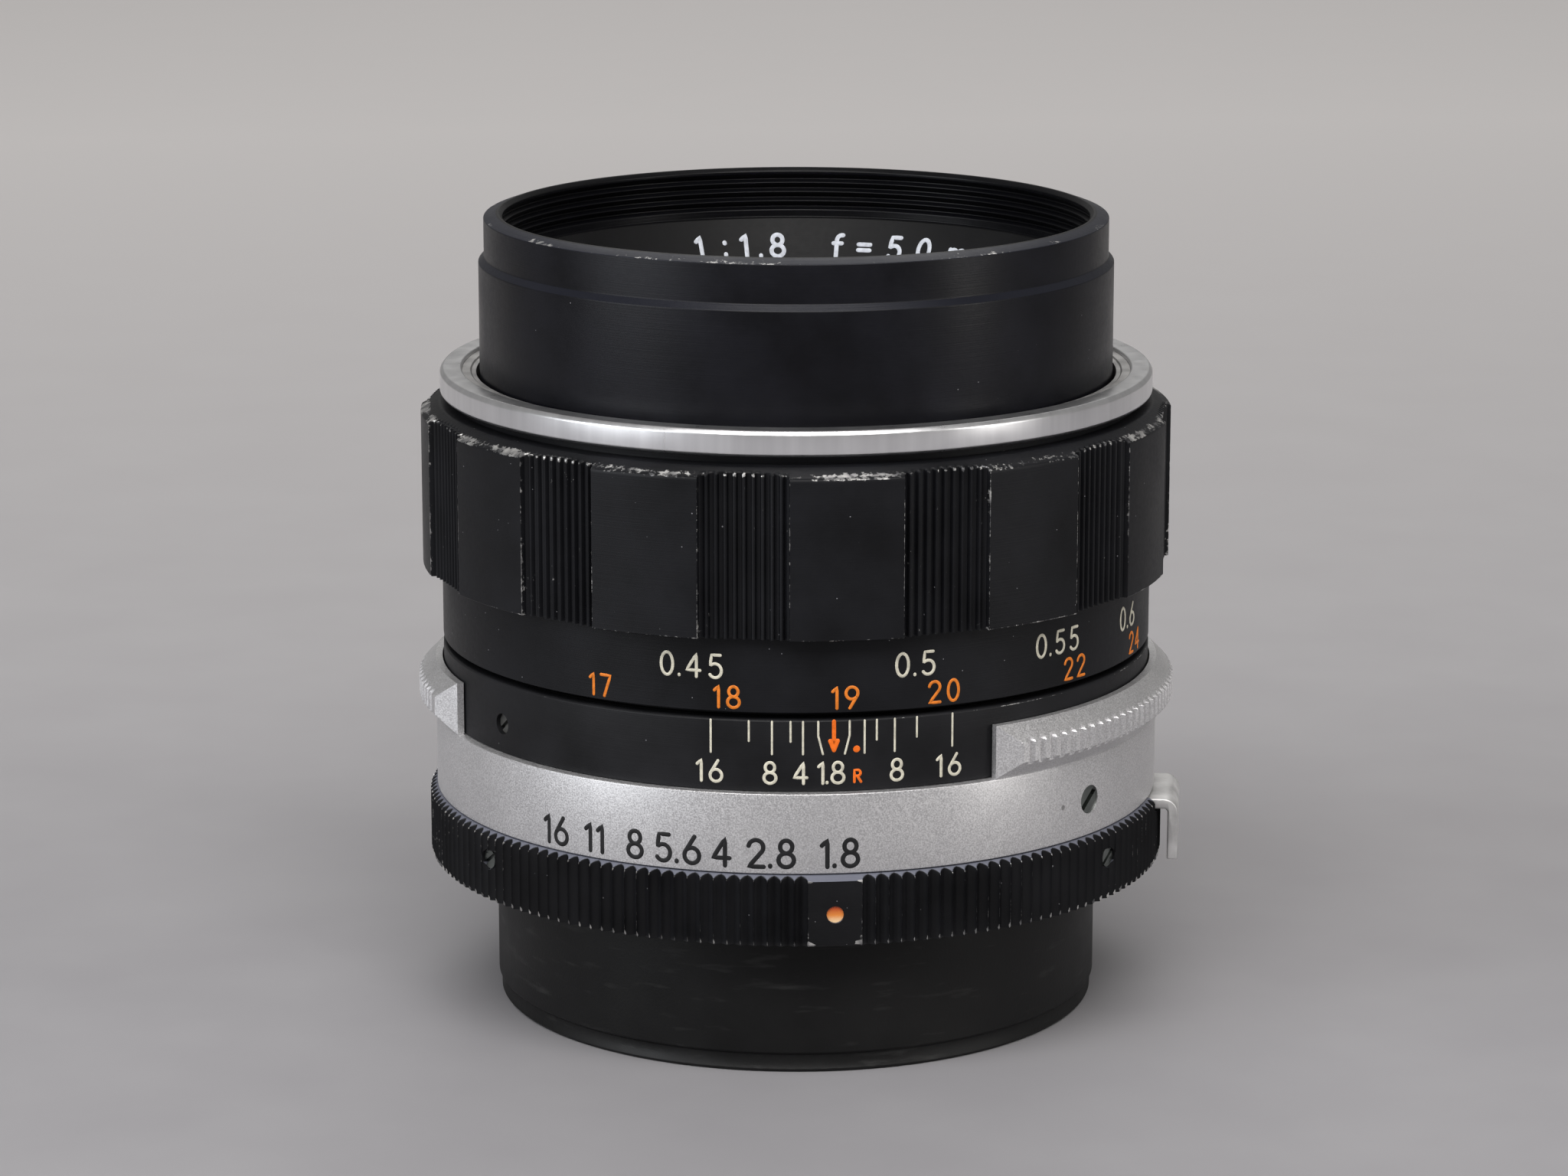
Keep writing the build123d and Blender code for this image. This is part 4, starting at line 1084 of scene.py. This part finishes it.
enamel_marks("metre_figures", scale_row(metres, 1.70, METRE_Z), 0.23, on_scale, cream,
             "focus_ring")
enamel_marks("feet_figures", scale_row(inches + feet, 1.58, FEET_Z), 0.23, on_scale, orange,
             "focus_ring")
print("distance scale:", [(text, round(angle, 1)) for text, angle in metres])

# %% [markdown]
# The depth scale is a fan of lines each side of an arrow, with a figure under the long ones. The
# lines for f/1.8 bend inwards at the foot to make room. A small dot and an R mark infra-red.

# %% Depth scale
LINE_TOP = depth_top - 0.12
LONG_END = depth_top - 2.58
SHORT_END = depth_top - 1.62
FIGURE_Z = depth_low + 1.4
DEG_PER_STOP = 1.18


def depth_lines():
    strokes = []
    for side in (-1, 1):
        for stop, end in ((16, LONG_END), (11, SHORT_END), (8, LONG_END), (5.6, SHORT_END), (4, LONG_END)):
            x = along(scale_r, side * DEG_PER_STOP * stop)
            strokes.append([(x, LINE_TOP), (x, end)])
        outer = along(scale_r, side * 2.4)
        inner = along(scale_r, side * 1.68)
        strokes.append([(outer, LINE_TOP), (outer, depth_top - 1.2), (inner, LONG_END)])
    return strokes


def depth_figures():
    strokes = []
    for text, angle in (("16", -19.1), ("8", -9.75), ("4", -5.1), ("1.8", -0.4), ("8", 9.8), ("16", 18.3)):
        strokes += text_strokes(text, 1.58, along(scale_r, angle), FIGURE_Z, 0.29 if "." in text else 0.40)
    return strokes


enamel_marks("depth_lines", depth_lines(), 0.155, on_scale, cream, "root")
enamel_marks("depth_figures", depth_figures(), 0.23, on_scale, cream, "root")
arrow_tip = depth_top - 2.30
arrow = [[(0, LINE_TOP), (0, arrow_tip + 0.5)]]
arrow += [[(x, arrow_tip + 0.72), (0, arrow_tip)] for x in (-0.28, -0.15, 0.0, 0.15, 0.28)]
enamel_marks("index_arrow", arrow, 0.30, on_scale, index_orange, "root")
infra_x = along(scale_r, 3.46)
infra = [[(infra_x, depth_top - 2.26), (infra_x + 0.02, depth_top - 2.24)]]
enamel_marks("infra_red_dot", infra, 0.50, on_scale, index_orange, "root")
letter = text_strokes("R", 0.9, infra_x + along(scale_r, 0.2), depth_low + 1.1)
enamel_marks("infra_red_letter", letter, 0.20, on_scale, index_orange, "root")

# %% [markdown]
# The aperture figures are black on silver, and spaced as the stops click. The ring turns them
# under the index one by one.

# %% Aperture figures
STOPS = (("1.8", 0.8), ("2.8", -9.5), ("4", -17.0), ("5.6", -23.8), ("8", -30.7), ("11", -37.8),
         ("16", -45.15))
stop_strokes = []
for stop_text, stop_angle in STOPS:
    stop_gap = 0.36 if "." in stop_text else 0.30
    stop_strokes += text_strokes(stop_text, 2.03, along(dial_r, stop_angle), dial_low + 1.56, stop_gap)
enamel_marks("aperture_figures", stop_strokes, 0.34, onto_cylinder(dial_r), black_fill, "aperture_dial",
             0.03)

# %% [markdown]
# The name ring carries only the speed and the focal length, on its far side, with the tops of the
# letters towards the rim. The strip is wrapped onto the cone, and it runs the other way round
# because it is read from inside.

# %% Name ring lettering
CONE_TOP_R = FILTER_R - 0.6
CONE_LOW_R = FILTER_R - 3.0
TEXT_FOOT = 0.36
TEXT_H = 1.85
TEXT_R = 21.0
TEXT_MIDDLE = 180 - 5.66
cone_length = math.hypot(CONE_TOP_R - CONE_LOW_R, name_top - name_low - 0.1)


def onto_name_cone(x, y, rise):
    """x runs round from the far side, y is the distance up the cone."""
    share = y / cone_length
    radius = CONE_LOW_R + (CONE_TOP_R - CONE_LOW_R) * share
    z = name_low + 0.1 + (name_top - name_low - 0.1) * share
    px, py = polar(radius - rise, TEXT_MIDDLE - math.degrees(x / TEXT_R))
    return px, py, z + rise * 0.5


name_strokes = []
for glyph, angle in (("1", -21.9), (":", -15.9), ("1", -11.5), (".", -7.7), ("8", -4.0), ("f", 9.5),
                     ("=", 15.5), ("5", 22.6), ("0", 29.7), ("m", 38.4), ("m", 46.4)):
    name_strokes += text_strokes(glyph, TEXT_H, along(TEXT_R, angle), cone_length * TEXT_FOOT + TEXT_H / 2)
enamel_marks("name_ring_figures", name_strokes, 0.36, onto_name_cone, white, "lens_barrel")

# %% [markdown]
# Small metal parts that show: the index dot, the set screws, the slotted screw of the aperture
# ring and the coupling prong. The set screws of the mount ring are made anew as short cylinders
# with a slot cut across each. The prong is a strip bent over, with its corners rounded by a bevel.
# The other screws, the inner parts and the dot keep their CAD shape and only need a finish.

# %% Small parts
PRONG_BEND = 1.1
PRONG_EDGE = 0.12
SCREW_SINK = 0.32
SLOT_TURN = -35


def finish_node(node, finish):
    """Put a finish on a CAD node that keeps its own shape."""
    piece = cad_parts[node]
    for slot in piece.material_slots:
        slot.material = finish.material
    if not piece.material_slots:
        piece.data.materials.append(finish.material)


def make_prong():
    root, outer = dial_r - 1.9, mount_r + 1.4
    top, foot = prong_top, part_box("coupling_prong")[0].z / MM
    bend_r, bend_z, hollow = outer - PRONG_BEND, top - PRONG_BEND, PRONG_BEND - PRONG_T
    quarter = [math.radians(10 * k) for k in range(10)]
    side = [(root, top)]
    side += [(bend_r + PRONG_BEND * math.sin(a), bend_z + PRONG_BEND * math.cos(a)) for a in quarter]
    side += [(outer, foot), (outer - PRONG_T, foot)]
    side += [(bend_r + hollow * math.cos(a), bend_z + hollow * math.sin(a)) for a in quarter]
    side += [(root, top - PRONG_T)]
    deselect_all()
    bpy.ops.mesh.primitive_circle_add(vertices=len(side), radius=0.01, fill_type="NGON", enter_editmode=True)
    piece = bpy.context.object
    piece.name = "coupling_prong_bent"
    shape = bmesh.from_edit_mesh(piece.data)
    for vertex, (r, z) in zip(shape.verts, side):
        vertex.co = (-PRONG_W / 2 * MM, -r * MM, z * MM)
    bmesh.update_edit_mesh(piece.data)
    bpy.ops.mesh.extrude_region_move(TRANSFORM_OT_translate={"value": (PRONG_W * MM, 0, 0)})
    bpy.ops.mesh.select_all(action="SELECT")
    bpy.ops.mesh.normals_make_consistent(inside=False)
    bpy.ops.object.mode_set(mode="OBJECT")
    bevel = piece.modifiers.new("edges", "BEVEL")
    bevel.width = PRONG_EDGE * MM
    bevel.segments = 2
    bevel.limit_method = "ANGLE"
    bevel.angle_limit = math.radians(50)
    bpy.ops.object.modifier_apply(modifier=bevel.name)
    bpy.ops.object.mode_set(mode="EDIT")
    bpy.ops.mesh.select_all(action="SELECT")
    bpy.ops.transform.rotate(value=-math.radians(PRONG_DEG), orient_axis="Z", center_override=(0, 0, 0))
    bpy.ops.object.mode_set(mode="OBJECT")
    bpy.ops.object.shade_smooth_by_angle(angle=math.radians(50))
    give(piece, prong_metal)
    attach(piece, "aperture_dial")
    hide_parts("coupling_prong")
    report(piece)


def make_grub_screws():
    """Three set screws, with a slot across each head, sunk just below the knurl's crests."""
    deselect_all()
    heads = [drill_bit(0.74, MOUNT_BORE + 0.4, mount_r - SCREW_SINK, set_screw_z, a) for a in SET_SCREWS]
    slots = []
    for angle in SET_SCREWS:
        x, y = polar(mount_r - SCREW_SINK, angle)
        bpy.ops.mesh.primitive_cube_add(size=MM, location=(x * MM, y * MM, set_screw_z * MM),
                                        rotation=(0, math.radians(SLOT_TURN), math.radians(angle)))
        slot = bpy.context.object
        slot.scale = (1.8, 0.5, 0.28)
        slots.append(slot)
    deselect_all()
    for head in heads:
        head.select_set(True)
    bpy.context.view_layer.objects.active = heads[0]
    bpy.ops.object.join()
    piece = bpy.context.object
    piece.name = "set_screws"
    cut_away(piece, slots)
    deselect_all()
    piece.select_set(True)
    bpy.ops.object.transform_apply(location=True, rotation=True, scale=True)
    give(piece, worn_screw)
    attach(piece, "root")
    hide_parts("mount_ring_screws")
    report(piece)


make_prong()
make_grub_screws()
CARRIED_OVER = (
    (dot_paint, ["index_dot"]),
    (worn_screw, ["aperture_screw"]),
    (dark_screw, ["depth_ring_screws"]),
    (steel, ["prong_screws", "mount_screws", "click_ball", "click_spring", "focus_stop_pin",
             "guide_key_screws", "iris_drive_lever"]),
    (brass, ["guide_keys", "focus_sleeve", "sleeve_retaining_ring", "iris_cam_ring", "aperture_drive_arm"]),
    (inner_black, ["main_housing", "inner_helicoid", "front_cell", "front_spacer", "rear_cell",
                   "rear_spacer", "rear_retaining_ring", "iris_base_plate", "front_retaining_ring"]),
    (inner_coating, ["second_glass", "third_glass", "fourth_glass", "fifth_glass", "rear_glass"]),
    (blade_steel, ["iris_blade_" + str(number) for number in range(1, 7)]),
    (mount_chrome, ["bayonet_plate"]))
for finish, nodes in CARRIED_OVER:
    for node in nodes:
        finish_node(node, finish)
print("finished", sum(len(nodes) for _, nodes in CARRIED_OVER), "CAD nodes that keep their own shape")

# %% [markdown]
# The stage is a plain pale floor whose colour carries painted light: painted shade near the camera
# and painted light behind the lens. A large soft light hangs above and in front, a second fills from
# the left, and a narrow one on the right draws the line of light down the black rings. A fourth
# lights the floor behind.

# %% Floor and light
FLOOR_PAINTED_SHADE_NEAR = (0.245, 0.238, 0.250, 1)
FLOOR_PAINTED_LIGHT_FAR = (0.55, 0.53, 0.525, 1)
FLOOR_GREY = (0.5, 0.5, 0.5, 1)
deselect_all()
bpy.ops.mesh.primitive_plane_add(size=8, location=(0, 0, 0))
floor = bpy.context.object
floor.name = "studio_floor"
floor_finish = Finish("studio_floor")
# Painted light: the floor colour runs from painted shade near the camera to painted light behind the lens.
depth = floor_finish.add("SeparateXYZ", output=1, Vector=floor_finish.place)
painted_light_falloff = floor_finish.blend(floor_finish.ramp(depth, 0.0, 0.5), FLOOR_PAINTED_SHADE_NEAR, FLOOR_PAINTED_LIGHT_FAR)
mottle = floor_finish.ramp(floor_finish.noise(60.0, 3.0), 0.3, 0.7, 0.06, 0.14)
floor_finish.set(Base_Color=floor_finish.blend(mottle, painted_light_falloff, FLOOR_GREY), Roughness=0.9)
floor.data.materials.append(floor_finish.material)


def soft_light(name, place, target, size, power, colour):
    data = bpy.data.lights.new(name, "AREA")
    data.shape = "RECTANGLE"
    data.size, data.size_y = size
    data.energy = power
    data.color = colour
    lamp = bpy.data.objects.new(name, data)
    bpy.context.collection.objects.link(lamp)
    lamp.location = place
    lamp.rotation_euler = (Vector(target) - Vector(place)).to_track_quat("-Z", "Y").to_euler()


soft_light("key_overhead", (-0.05, -0.55, 0.72), (0, 0, 0.03), (0.8, 0.5), 8.2, (1.0, 0.98, 0.97))
soft_light("fill_left", (-0.75, -0.35, 0.30), (0, 0, 0.03), (0.5, 0.6), 4.0, (0.93, 0.96, 1.0))
soft_light("strip_right", (0.55, -0.35, 0.20), (0, 0, 0.04), (0.12, 0.5), 1.2, (1.0, 0.98, 0.95))
soft_light("back_floor", (0.10, 0.90, 0.95), (0.05, 0.90, 0), (1.2, 0.7), 5.0, (1.0, 0.99, 0.97))
world = bpy.data.worlds.new("studio")
world.use_nodes = True
world.node_tree.nodes["Background"].inputs[0].default_value = (0.62, 0.61, 0.60, 1)
world.node_tree.nodes["Background"].inputs[1].default_value = 0.36
bpy.context.scene.world = world
print("four lights and a floor made")

# %% [markdown]
# The camera stands to the left of the index line and above the lens, and looks down at thirteen
# degrees through a long lens, so that the rings are seen as shallow ellipses.

# %% Camera
VIEW_PITCH = math.radians(13.10)
VIEW_TURN = math.radians(5.66)
view_place = Vector((-37.8, -371.9, 119.0)) * MM
view_line = Vector((math.sin(VIEW_TURN) * math.cos(VIEW_PITCH),
                    math.cos(VIEW_TURN) * math.cos(VIEW_PITCH), -math.sin(VIEW_PITCH)))
camera_data = bpy.data.cameras.new("camera")
camera_data.sensor_width = 36
camera_data.lens = 112.4
camera = bpy.data.objects.new("camera", camera_data)
bpy.context.collection.objects.link(camera)
camera.location = view_place
camera.rotation_euler = view_line.to_track_quat("-Z", "Y").to_euler()
camera_data.clip_start = 0.01
bpy.context.scene.camera = camera
bpy.context.scene.view_settings.view_transform = "Standard"

# %% [markdown]
# The view layer is brought up to date at the end. The made pieces have to stay inside the CAD
# model's box.

# %% Finish
bpy.context.view_layer.update()
